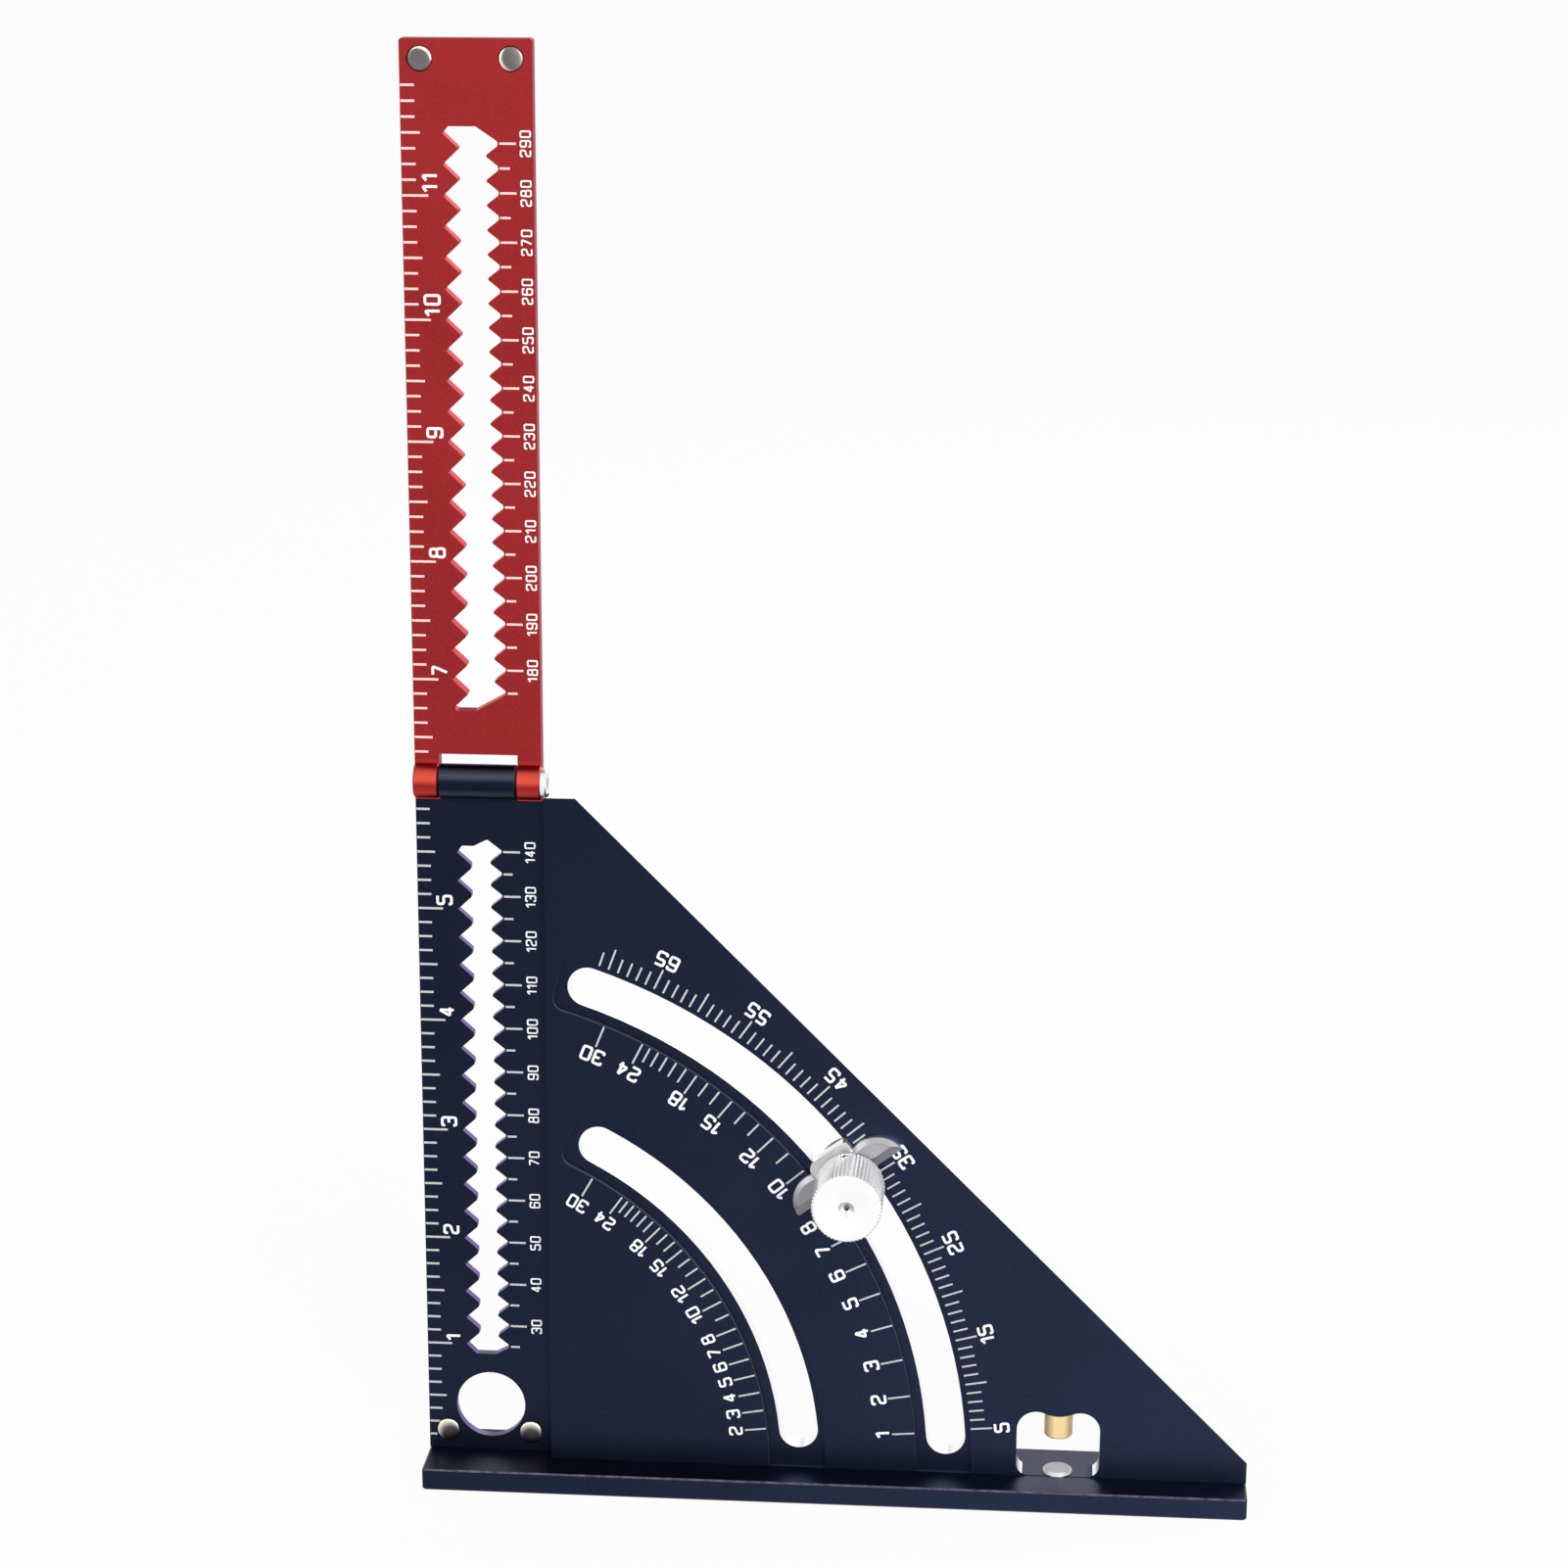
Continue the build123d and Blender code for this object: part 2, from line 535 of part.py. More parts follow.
def angle_stop():
    """Winged stop: index edges at both sides, key in the pocket, guide in the slot."""
    top = STOP_LIFT + STOP_THICKNESS
    key_bottom = TONGUE_FLOOR_GAP - POCKET_DEPTH
    stop = tower(tongue_outline(), key_bottom, top)
    stop += rod(HUB_RADIUS, STOP_LIFT, top)
    stop += wing()
    stop += mirror(wing(), Plane.YZ)
    stop += rod(OUTER_SLOT_WIDTH / 2 - GUIDE_GAP, -GUIDE_DEPTH, STOP_LIFT)
    stop -= rod(STUD_RADIUS + RUNNING_FIT, -GUIDE_DEPTH, top)
    return stop_place() * stop


def grub_axis(distance):
    """Frame at a distance from the knob's axis, its Z pointing outwards along the grub."""
    turn = math.radians(GRUB_ANGLE)
    outwards = (math.cos(turn), math.sin(turn), 0)
    height = KNOB_BASE + GRUB_HEIGHT
    origin = (outwards[0] * distance, outwards[1] * distance, height)
    return Plane(origin, x_dir=(0, 0, 1), z_dir=outwards).location


def thumb_knob():
    """Turned knob: blind bore for the stud, tapped side hole, centre mark in its face."""
    knob = rod(KNOB_RADIUS, KNOB_BASE, KNOB_FACE)
    knob = chamfer(knob.edges().filter_by(GeomType.CIRCLE), KNOB_EDGE)
    knob -= rod(STUD_RADIUS + THREAD_FIT, KNOB_BASE, KNOB_BASE + STUD_IN_KNOB)
    knob -= grub_axis(0) * rod(GRUB_RADIUS + THREAD_FIT, STUD_RADIUS, KNOB_RADIUS)
    mark = Cone(0, KNOB_CENTRE_RADIUS, KNOB_CENTRE_DEPTH)
    knob -= Pos(0, 0, KNOB_FACE - KNOB_CENTRE_DEPTH / 2) * mark
    knob -= rod(KNOB_PILOT_RADIUS, KNOB_FACE - KNOB_PILOT_DEPTH, KNOB_FACE)
    return stop_place() * knob


def knob_grub_screw():
    """Set screw that holds the knob on the stud, with a drive hole in its outer end."""
    outer_end = KNOB_RADIUS - GRUB_INSET
    screw = rod(GRUB_RADIUS, STUD_RADIUS, outer_end)
    screw -= rod(GRUB_DIMPLE_RADIUS, outer_end - GRUB_DIMPLE_DEPTH, outer_end)
    return stop_place() * grub_axis(0) * screw


def clamp_stud():
    """Stud from inside the knob, through the stop, to the back of the clamp disc."""
    return stop_place() * rod(STUD_RADIUS, STUD_END_INSET - DISC_BACK, KNOB_BASE + STUD_IN_KNOB)


def clamp_disc():
    """Disc behind the plate, its flatted boss in the slot, tapped for the stud."""
    disc = rod(DISC_RADIUS, -DISC_BACK, -DISC_FRONT)
    disc = chamfer(disc.faces().sort_by(Axis.Z)[0].edges(), DISC_EDGE)
    boss_width = OUTER_SLOT_WIDTH - 2 * GUIDE_GAP
    flats = Circle(DISC_BOSS_RADIUS) & Rectangle(boss_width, 2 * DISC_BOSS_RADIUS)
    disc += tower(flats, -DISC_FRONT, DISC_BOSS_LENGTH - DISC_FRONT)
    disc -= rod(STUD_RADIUS + RUNNING_FIT, -DISC_BACK, DISC_BOSS_LENGTH - DISC_FRONT)
    return stop_place() * disc


# --- pieces in the window ---------------------------------------------------------
def brass_stud():
    """Brass stud under the window's roof, its head shaped to the roof, its shank in it."""
    head = rod(BRASS_RADIUS, BRASS_BOTTOM, DIP_HEIGHT + BRASS_RADIUS)
    head = chamfer(head.faces().sort_by(Axis.Z)[0].edges(), BRASS_EDGE)
    head = Pos(WINDOW_X, PLATE_MIDDLE, 0) * head
    roof = Pos(0, -BRASS_SEAT_GAP) * window_outline()
    head &= slab(roof, BRASS_SEAT_GAP, PLATE_THICKNESS - BRASS_SEAT_GAP)
    shank = rod(SHANK_RADIUS, BRASS_BOTTOM + BRASS_EDGE, DIP_HEIGHT + SHANK_LENGTH)
    return head + Pos(WINDOW_X, PLATE_MIDDLE, 0) * shank


def steel_button():
    """Low steel button set in the fence under the brass stud."""
    button = rod(BUTTON_RADIUS, -BUTTON_SUNK, WINDOW_FLOOR + BUTTON_RISE)
    button = chamfer(button.faces().sort_by(Axis.Z)[-1].edges(), BUTTON_EDGE)
    return Pos(WINDOW_X, PLATE_MIDDLE, 0) * button


def all_pieces():
    """Every separate piece by its name, in the working frame."""
    body_left, body_right = magnet_seats(MAGNET_HEIGHT)
    blade_left, blade_right = magnet_seats(BLADE_MAGNET_HEIGHT)
    return {
        "square_body": square_body(),
        "fold_blade": fold_blade(),
        "hinge_screw": hinge_screw(),
        "body_magnet_left": magnet(body_left),
        "body_magnet_right": magnet(body_right),
        "blade_magnet_left": magnet(blade_left),
        "blade_magnet_right": magnet(blade_right),
        "angle_stop": angle_stop(),
        "thumb_knob": thumb_knob(),
        "knob_grub_screw": knob_grub_screw(),
        "clamp_stud": clamp_stud(),
        "clamp_disc": clamp_disc(),
        "brass_stud": brass_stud(),
        "steel_button": steel_button(),
    }


os.makedirs("parts", exist_ok=True)
for name, piece in all_pieces().items():
    export_step(ORIGIN * piece, f"parts/{name}.step")
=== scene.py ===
import logging
import math
from collections.abc import Callable
from dataclasses import dataclass, field, replace
from enum import Enum

import bmesh
import bpy
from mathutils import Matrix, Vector


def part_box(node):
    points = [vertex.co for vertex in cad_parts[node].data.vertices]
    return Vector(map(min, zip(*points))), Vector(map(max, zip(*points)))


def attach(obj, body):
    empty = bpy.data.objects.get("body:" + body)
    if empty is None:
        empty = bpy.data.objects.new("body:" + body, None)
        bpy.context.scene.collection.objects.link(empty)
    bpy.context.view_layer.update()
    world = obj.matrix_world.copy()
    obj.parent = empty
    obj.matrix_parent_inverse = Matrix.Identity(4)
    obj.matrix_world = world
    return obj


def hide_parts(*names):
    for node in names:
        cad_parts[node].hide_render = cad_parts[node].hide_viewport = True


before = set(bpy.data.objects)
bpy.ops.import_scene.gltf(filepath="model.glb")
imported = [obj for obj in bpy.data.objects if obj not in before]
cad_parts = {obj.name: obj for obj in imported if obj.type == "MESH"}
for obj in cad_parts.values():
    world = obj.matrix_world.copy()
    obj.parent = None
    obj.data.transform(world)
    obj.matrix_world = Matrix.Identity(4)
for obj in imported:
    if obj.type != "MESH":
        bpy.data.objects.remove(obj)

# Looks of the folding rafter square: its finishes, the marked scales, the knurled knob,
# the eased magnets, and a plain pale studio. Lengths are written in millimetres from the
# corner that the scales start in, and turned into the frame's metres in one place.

LOG = logging.getLogger("rafter_square")

Flat = tuple[float, float]
Place = tuple[float, float, float]
Radii = tuple[float, float, float]
Colour = tuple[float, float, float]
Stops = tuple[tuple[float, Colour], ...]
Face = tuple[int, ...]

MM = 0.001
INCH = 25.4

# The corner that the scales start in, in the shared frame and in millimetres.
RULING_EDGE = -91.7
PLATE_FRONT = -3.0
FENCE_TOP = 5.0

# Depths of the two marked faces behind the plate's front.
PLATE_FACE = 0.0
STRIP_FACE = 3.8

WHITE = (1.0, 1.0, 1.0, 1.0)

# The band that most of a noise's values lie in.
NOISE_BAND = (0.3, 0.7)

# How much smoother and rougher than its middle a finish gets, over that band.
SMOOTHER = 0.04
ROUGHER = 0.05

# The depth of a fine grain, in metres.
GRAIN_DEPTH = 0.00003


def at(x: float, depth: float, z: float) -> Vector:
    """Point of the frame, in metres, from millimetres measured at the scales' corner.

    Args:
        x: Distance along the fence from the ruling edge.
        depth: Distance behind the plate's front face.
        z: Height above the fence's top.

    Returns:
        The same point in the shared frame.
    """
    return Vector(((x + RULING_EDGE) * MM, (depth + PLATE_FRONT) * MM, (z + FENCE_TOP) * MM))


# --- node graphs ------------------------------------------------------------------
class Graph:
    """Small builder for one material's or world's node tree."""

    def __init__(self, tree: bpy.types.NodeTree) -> None:
        """Empties the tree.

        Args:
            tree: The node tree to fill.
        """
        self.tree = tree
        tree.nodes.clear()

    def add(self, kind: str, settings: dict | None = None, **inputs: object) -> bpy.types.Node:
        """Adds a node and fills its inputs.

        Args:
            kind: Blender's class name of the node.
            settings: Properties of the node itself.
            **inputs: Input name, with spaces as underscores, to a value or an output.

        Returns:
            The new node.
        """
        node = self.tree.nodes.new(kind)
        for key, value in (settings or {}).items():
            setattr(node, key, value)
        for key, value in inputs.items():
            self.feed(node.inputs[key.replace("_", " ")], value)
        return node

    def feed(self, socket: bpy.types.NodeSocket, value: object) -> None:
        """Links an output to a socket, or sets the socket's own value.

        Args:
            socket: The input.
            value: An output socket, or a plain value.
        """
        if isinstance(value, bpy.types.NodeSocket):
            self.tree.links.new(value, socket)
        else:
            socket.default_value = value

    def math(self, operation: str, *values: object) -> bpy.types.NodeSocket:
        """One arithmetic step.

        Args:
            operation: Name of the operation.
            *values: Numbers or outputs, in the node's order.

        Returns:
            The result's socket.
        """
        node = self.tree.nodes.new("ShaderNodeMath")
        node.operation = operation
        for socket, value in zip(node.inputs, values):
            self.feed(socket, value)
        return node.outputs[0]

    def mix(self, share: object, first: object, second: object) -> bpy.types.NodeSocket:
        """Blend of two colours, by the node's sockets for colours, which share names with others.

        Args:
            share: Share of the second colour, a number or an output.
            first: Colour or output at 0.
            second: Colour or output at 1.

        Returns:
            The blended colour's socket.
        """
        node = self.tree.nodes.new("ShaderNodeMix")
        node.data_type = "RGBA"
        self.feed(node.inputs[0], share)
        self.feed(node.inputs[6], first)
        self.feed(node.inputs[7], second)
        return node.outputs[2]

    def ramp(self, value: object, low: float, high: float, start: float, end: float) -> bpy.types.NodeSocket:
        """Straight, clamped change of range.

        Args:
            value: The number to map.
            low: Input that gives start.
            high: Input that gives end.
            start: Result at low.
            end: Result at high.

        Returns:
            The mapped number's socket.
        """
        node = self.tree.nodes.new("ShaderNodeMapRange")
        for socket, entry in zip(node.inputs, (value, low, high, start, end)):
            self.feed(socket, entry)
        return node.outputs[0]

    def noise(
        self, place: object, scale: float, detail: float = 2.0, rough: float = 0.5
    ) -> bpy.types.NodeSocket:
        """Three-dimensional noise.

        Args:
            place: Vector output to sample at.
            scale: Grains per metre of the sampled vector.
            detail: Octaves.
            rough: Share that each finer octave adds.

        Returns:
            The noise's value socket, about 0.2 to 0.8.
        """
        node = self.add("ShaderNodeTexNoise", None, Scale=scale, Detail=detail, Roughness=rough)
        self.feed(node.inputs["Vector"], place)
        return node.outputs[0]

    def split(self, vector: object) -> bpy.types.bpy_prop_collection:
        """A vector's parts, under the names X, Y and Z."""
        return self.add("ShaderNodeSeparateXYZ", None, Vector=vector).outputs

    def scaled(self, colour: object, factor: object) -> bpy.types.NodeSocket:
        """A colour made lighter or darker by an output.

        Args:
            colour: The colour's output.
            factor: The factor's output.

        Returns:
            The scaled colour's socket.
        """
        node = self.add("ShaderNodeVectorMath", {"operation": "SCALE"}, Scale=factor)
        self.feed(node.inputs[0], colour)
        return node.outputs[0]

    def stops(self, value: object, places: Stops) -> bpy.types.NodeSocket:
        """Colour that follows a number through several stops.

        Args:
            value: The number, 0 to 1.
            places: Each stop's place and colour.

        Returns:
            The colour's socket.
        """
        node = self.add("ShaderNodeValToRGB", None, Fac=value)
        ramp = node.color_ramp
        while len(ramp.elements) < len(places):
            ramp.elements.new(0.5)
        for element, (place, colour) in zip(ramp.elements, places):
            element.position = place
            element.color = shade(colour)
        return node.outputs["Color"]

    def reach(self, across: object, up: object) -> bpy.types.NodeSocket:
        """Distance from an axis.

        Args:
            across: First number or output square to the axis.
            up: Second number or output square to the axis.

        Returns:
            The distance's socket.
        """
        squares = self.math("ADD", self.math("MULTIPLY", across, across), self.math("MULTIPLY", up, up))
        return self.math("SQRT", squares)

    def from_corner(self, place: object) -> bpy.types.NodeSocket:
        """Distance in the plate's plane from the corner that the arcs are struck about.

        Args:
            place: Object coordinates.

        Returns:
            The distance's socket, in metres.
        """
        part = self.split(place)
        corner = at(0.0, 0.0, 0.0)
        across = self.math("SUBTRACT", part["X"], corner.x)
        up = self.math("SUBTRACT", part["Z"], corner.z)
        return self.reach(across, up)

    def bump(self, height: object, strength: float, distance: float) -> bpy.types.NodeSocket:
        """Normal that follows a height.

        Args:
            height: Height output, 0 to 1.
            strength: Share of the effect.
            distance: Height in metres that 1 stands for.

        Returns:
            The normal's socket.
        """
        node = self.add("ShaderNodeBump", None, Strength=strength, Distance=distance)
        self.feed(node.inputs["Height"], height)
        return node.outputs[0]


def shade(colour: Colour, factor: float = 1.0) -> tuple[float, float, float, float]:
    """Colour with an alpha, made lighter or darker.

    Args:
        colour: Linear red, green and blue.
        factor: Multiplier.

    Returns:
        Four numbers for a colour socket.
    """
    return (colour[0] * factor, colour[1] * factor, colour[2] * factor, 1.0)


def blank(name: str) -> tuple[bpy.types.Material, Graph]:
    """New material whose node tree is still empty.

    Args:
        name: The material's name.

    Returns:
        The material and the builder of its nodes.
    """
    made = bpy.data.materials.new(name)
    made.use_nodes = True
    return made, Graph(made.node_tree)


# --- finishes ---------------------------------------------------------------------
@dataclass(frozen=True)
class Anodised:
    """Bead-blasted, dyed anodised aluminium, whose milled walls carry painted reflections and painted shade.
    """

    name: str
    face: Colour
    # Painted light on the milled walls: the colours where they slant up, face straight up and face down.
    upper_wall: Colour
    level_wall: Colour
    under_wall: Colour
    graze: Colour
    wall_graze: Colour
    # Painted highlight and shade bands round the hinge's barrels; none when empty.
    barrel: Stops = ()
    roughness: float = 0.4
    wall_roughness: float = 0.3
    walls_above: float = 0.0055
    barrel_axis: Flat = (0.00075, 0.1606)
    barrel_radius: float = 0.0046
    barrel_end: float = -0.0637
    slant_range: Flat = (-0.25, 0.35)
    level_range: Flat = (0.88, 0.97)
    upright_range: Flat = (0.3, 0.8)
    cloud_scale: float = 30.0
    cloud_factors: Flat = (0.84, 1.12)
    mottle_scale: float = 1300.0
    mottle_band: Flat = (0.35, 0.65)
    mottle_share: float = 0.45
    mottle_factor: float = 1.35
    blast_scale: float = 5200.0
    blast_share: float = 0.3
    blast_factor: float = 1.3
    blast_relief: float = 0.18
    blast_depth: float = 0.00004
    speck_scale: float = 1500.0
    speck_band: Flat = (0.68, 0.76)
    speck_share: float = 0.2
    speck_factor: float = 1.9

    def wall_colour(self, g: Graph, place: object, normal: object) -> bpy.types.NodeSocket:
        """Colour of the milled walls: a painted reflection where they slant up, painted shade where they
        face down.

        Args:
            g: The graph to add to.
            place: Object coordinates; not used here.
            normal: The surface's normal in them.

        Returns:
            The walls' colour socket.
        """
        tilt = g.split(normal)["Z"]
        upwards = g.ramp(tilt, *self.slant_range, 0.0, 1.0)
        slanted = g.mix(upwards, shade(self.under_wall), shade(self.upper_wall))
        return g.mix(g.ramp(tilt, *self.level_range, 0.0, 1.0), slanted, shade(self.level_wall))

    def metal(self, g: Graph, place: object) -> object:
        """Share of bare metal gloss, a number or a socket."""
        return 1.0

    def wall_tint(self, g: Graph, place: object) -> object:
        """Colour that the walls' gloss takes along their length."""
        return shade(self.wall_graze)

    def with_barrel(self, g: Graph, place: object, normal: object, colour: object) -> bpy.types.NodeSocket:
        """Colour with the turned hinge barrel's painted sheen: bands of painted highlight and painted shade.

        Args:
            g: The graph to add to.
            place: Object coordinates.
            normal: The surface's normal in them.
            colour: The colour so far.

        Returns:
            The colour's socket.
        """
        part, tilt = g.split(place), g.split(normal)
        depth, level = self.barrel_axis
        out = g.reach(g.math("SUBTRACT", part["Y"], depth), g.math("SUBTRACT", part["Z"], level))
        bands = g.stops(g.ramp(tilt["Z"], -1.0, 1.0, 0.0, 1.0), self.barrel)
        round_it = g.math("LESS_THAN", g.math("ABSOLUTE", tilt["X"]), 0.5)
        near = g.math("LESS_THAN", out, self.barrel_radius)
        near = g.math("MULTIPLY", near, g.math("LESS_THAN", part["X"], self.barrel_end))
        return g.mix(g.math("MULTIPLY", near, round_it), colour, bands)

    def tone(self, g: Graph, place: object, blast: object) -> bpy.types.NodeSocket:
        """Colour of the blasted faces: cloudy, mottled and finely speckled.

        Args:
            g: The graph to add to.
            place: Object coordinates.
            blast: The blasting's height.

        Returns:
            The faces' colour socket.
        """
        cloud = g.noise(place, self.cloud_scale, 3.0, 0.55)
        mottle = g.noise(place, self.mottle_scale, 2.0, 0.6)
        speck = g.ramp(g.noise(place, self.speck_scale, 1.0), *self.speck_band, 0.0, 1.0)
        deep, pale = (shade(self.face, factor) for factor in self.cloud_factors)
        tone = g.mix(g.ramp(cloud, *NOISE_BAND, 0.0, 1.0), deep, pale)
        mottled = g.ramp(mottle, *self.mottle_band, 0.0, self.mottle_share)
        tone = g.mix(mottled, tone, shade(self.face, self.mottle_factor))
        blasted = g.ramp(blast, *NOISE_BAND, 0.0, self.blast_share)
        tone = g.mix(blasted, tone, shade(self.face, self.blast_factor))
        speckled = g.math("MULTIPLY", speck, self.speck_share)
        return g.mix(speckled, tone, shade(self.face, self.speck_factor))

    def material(self) -> bpy.types.Material:
        """Builds the finish.

        Returns:
            The material.
        """
        made, g = blank(self.name)
        where = g.add("ShaderNodeTexCoord")
        place, normal = where.outputs["Object"], where.outputs["Normal"]
        blast = g.noise(place, self.blast_scale, 2.0, 0.65)
        upright = g.ramp(g.math("ABSOLUTE", g.split(normal)["Y"]), *self.upright_range, 1.0, 0.0)
        above = g.math("GREATER_THAN", g.split(place)["Z"], self.walls_above)
        wall = g.math("MULTIPLY", upright, above)
        # Painted light: the walls take the painted reflections and painted shade of wall_colour.
        walls = self.wall_colour(g, place, normal)
        colour = g.mix(wall, self.tone(g, place, blast), walls)
        # Painted highlight and shade bands on the hinge's barrels.
        if self.barrel:
            colour = self.with_barrel(g, place, normal, colour)
        rough = g.ramp(blast, *NOISE_BAND, self.roughness - SMOOTHER, self.roughness + ROUGHER)
        rough = g.math("ADD", rough, g.math("MULTIPLY", wall, self.wall_roughness - self.roughness))
        shader = g.add("ShaderNodeBsdfPrincipled", None, Base_Color=colour, Roughness=rough)
        g.feed(shader.inputs["Metallic"], self.metal(g, place))
        g.feed(shader.inputs["Specular Tint"], g.mix(wall, shade(self.graze), self.wall_tint(g, place)))
        g.feed(shader.inputs["Normal"], g.bump(blast, self.blast_relief, self.blast_depth))
        g.add("ShaderNodeOutputMaterial", None, Surface=shader.outputs[0])
        return made


@dataclass(frozen=True)
class BodyAnodised(Anodised):
    """The body's finish: a painted white reflection on the plate's walls, and a flat grey as painted light
    on its recesses' walls.
    """

    plate_from: float = -0.0635
    recess_mouth: float = -0.00298
    recess_floor: float = -0.00192
    recess_reach: float = 0.1238
    # Painted reflection: the white of the plate's walls seen along their length, over a foot colour seen
    # face on.
    gleam: Colour = (0.94, 0.94, 0.95)
    gleam_range: Flat = (0.5, 0.64)
    gleam_foot: float = 1.3
    # Painted light: a flat grey on the recesses' walls that stands in for how the light falls on them.
    recess: Colour = (0.1, 0.11, 0.14)
    # Painted highlight along the fence's front top edge, uneven along its length.
    edge: Colour = (0.13, 0.125, 0.165)
    edge_above: float = 0.00465
    edge_before: float = -0.0116
    edge_scale: float = 420.0
    edge_band: Flat = (0.35, 0.6)
    edge_least: float = 0.25
    # Painted shade across the faces: darker towards the strip's top, lighter towards the lower right.
    tone_slant: float = 0.6
    tone_range: Flat = (-0.17, 0.08)
    tone_factors: Flat = (0.66, 1.32)

    def in_recess(self, g: Graph, place: object) -> bpy.types.NodeSocket:
        """Whether a wall belongs to a recess round a slot.

        Args:
            g: The graph to add to.
            place: Object coordinates.

        Returns:
            1 or 0 as a socket.
        """
        part = g.split(place)
        shallow = g.math("LESS_THAN", part["Y"], self.recess_floor)
        shallow = g.math("MULTIPLY", shallow, g.math("GREATER_THAN", part["Y"], self.recess_mouth))
        shallow = g.math("MULTIPLY", shallow, g.math("GREATER_THAN", part["X"], self.plate_from))
        return g.math("MULTIPLY", shallow, g.math("LESS_THAN", g.from_corner(place), self.recess_reach))

    def metal(self, g: Graph, place: object) -> object:
        """Share of bare metal gloss: none on the recesses' walls, which carry a flat grey as painted light.
        """
        return g.math("SUBTRACT", 1.0, self.in_recess(g, place))

    def wall_tint(self, g: Graph, place: object) -> object:
        """Colour of the walls' gloss: white along the plate's, dyed along the strip's."""
        plate = g.math("GREATER_THAN", g.split(place)["X"], self.plate_from)
        return g.mix(plate, shade(self.wall_graze), WHITE)

    def tone(self, g: Graph, place: object, blast: object) -> bpy.types.NodeSocket:
        """Colour of the faces: painted shade that darkens them towards the strip's top, and a painted
        highlight along the fence's front top edge.

        Args:
            g: The graph to add to.
            place: Object coordinates.
            blast: The blasting's height.

        Returns:
            The faces' colour socket.
        """
        part = g.split(place)
        # Painted shade: the faces darken towards the strip's top and lighten towards the lower right.
        slant = g.math("SUBTRACT", part["X"], g.math("MULTIPLY", part["Z"], self.tone_slant))
        factor = g.ramp(slant, *self.tone_range, *self.tone_factors)
        tone = g.scaled(super().tone(g, place, blast), factor)
        # Painted highlight: a light line along the fence's front top edge, uneven along its length.
        highlit_edge = g.math("GREATER_THAN", part["Z"], self.edge_above)
        highlit_edge = g.math("MULTIPLY", highlit_edge, g.math("LESS_THAN", part["Y"], self.edge_before))
        painted_light = g.ramp(g.noise(place, self.edge_scale, 3.0), *self.edge_band, self.edge_least, 1.0)
        return g.mix(g.math("MULTIPLY", highlit_edge, painted_light), tone, shade(self.edge))

    def wall_colour(self, g: Graph, place: object, normal: object) -> bpy.types.NodeSocket:
        """Colour of the strip's walls, the plate's walls with their painted reflection, and the recesses'
        walls with their flat grey.

        Args:
            g: The graph to add to.
            place: Object coordinates.
            normal: The surface's normal in them.

        Returns:
            The walls' colour socket.
        """
        strip = super().wall_colour(g, place, normal)
        # Painted reflection: the plate's walls turn white as they are seen more along their length.
        grazed = g.add("ShaderNodeLayerWeight", None, Blend=0.5).outputs["Facing"]
        foot = shade(self.face, self.gleam_foot)
        plate = g.mix(g.ramp(grazed, *self.gleam_range, 0.0, 1.0), foot, shade(self.gleam))
        # Painted light: the recesses' walls take their flat grey.
        plate = g.mix(self.in_recess(g, place), plate, shade(self.recess))
        on_plate = g.math("GREATER_THAN", g.split(place)["X"], self.plate_from)
        return g.mix(on_plate, strip, plate)


class Grain(Enum):
    """How a bright metal was cut: the lines that its tool left."""

    TURNED_ABOUT_Y = "turned_about_y"
    TURNED_ABOUT_Z = "turned_about_z"
    BRUSHED = "brushed"
    PLATED = "plated"


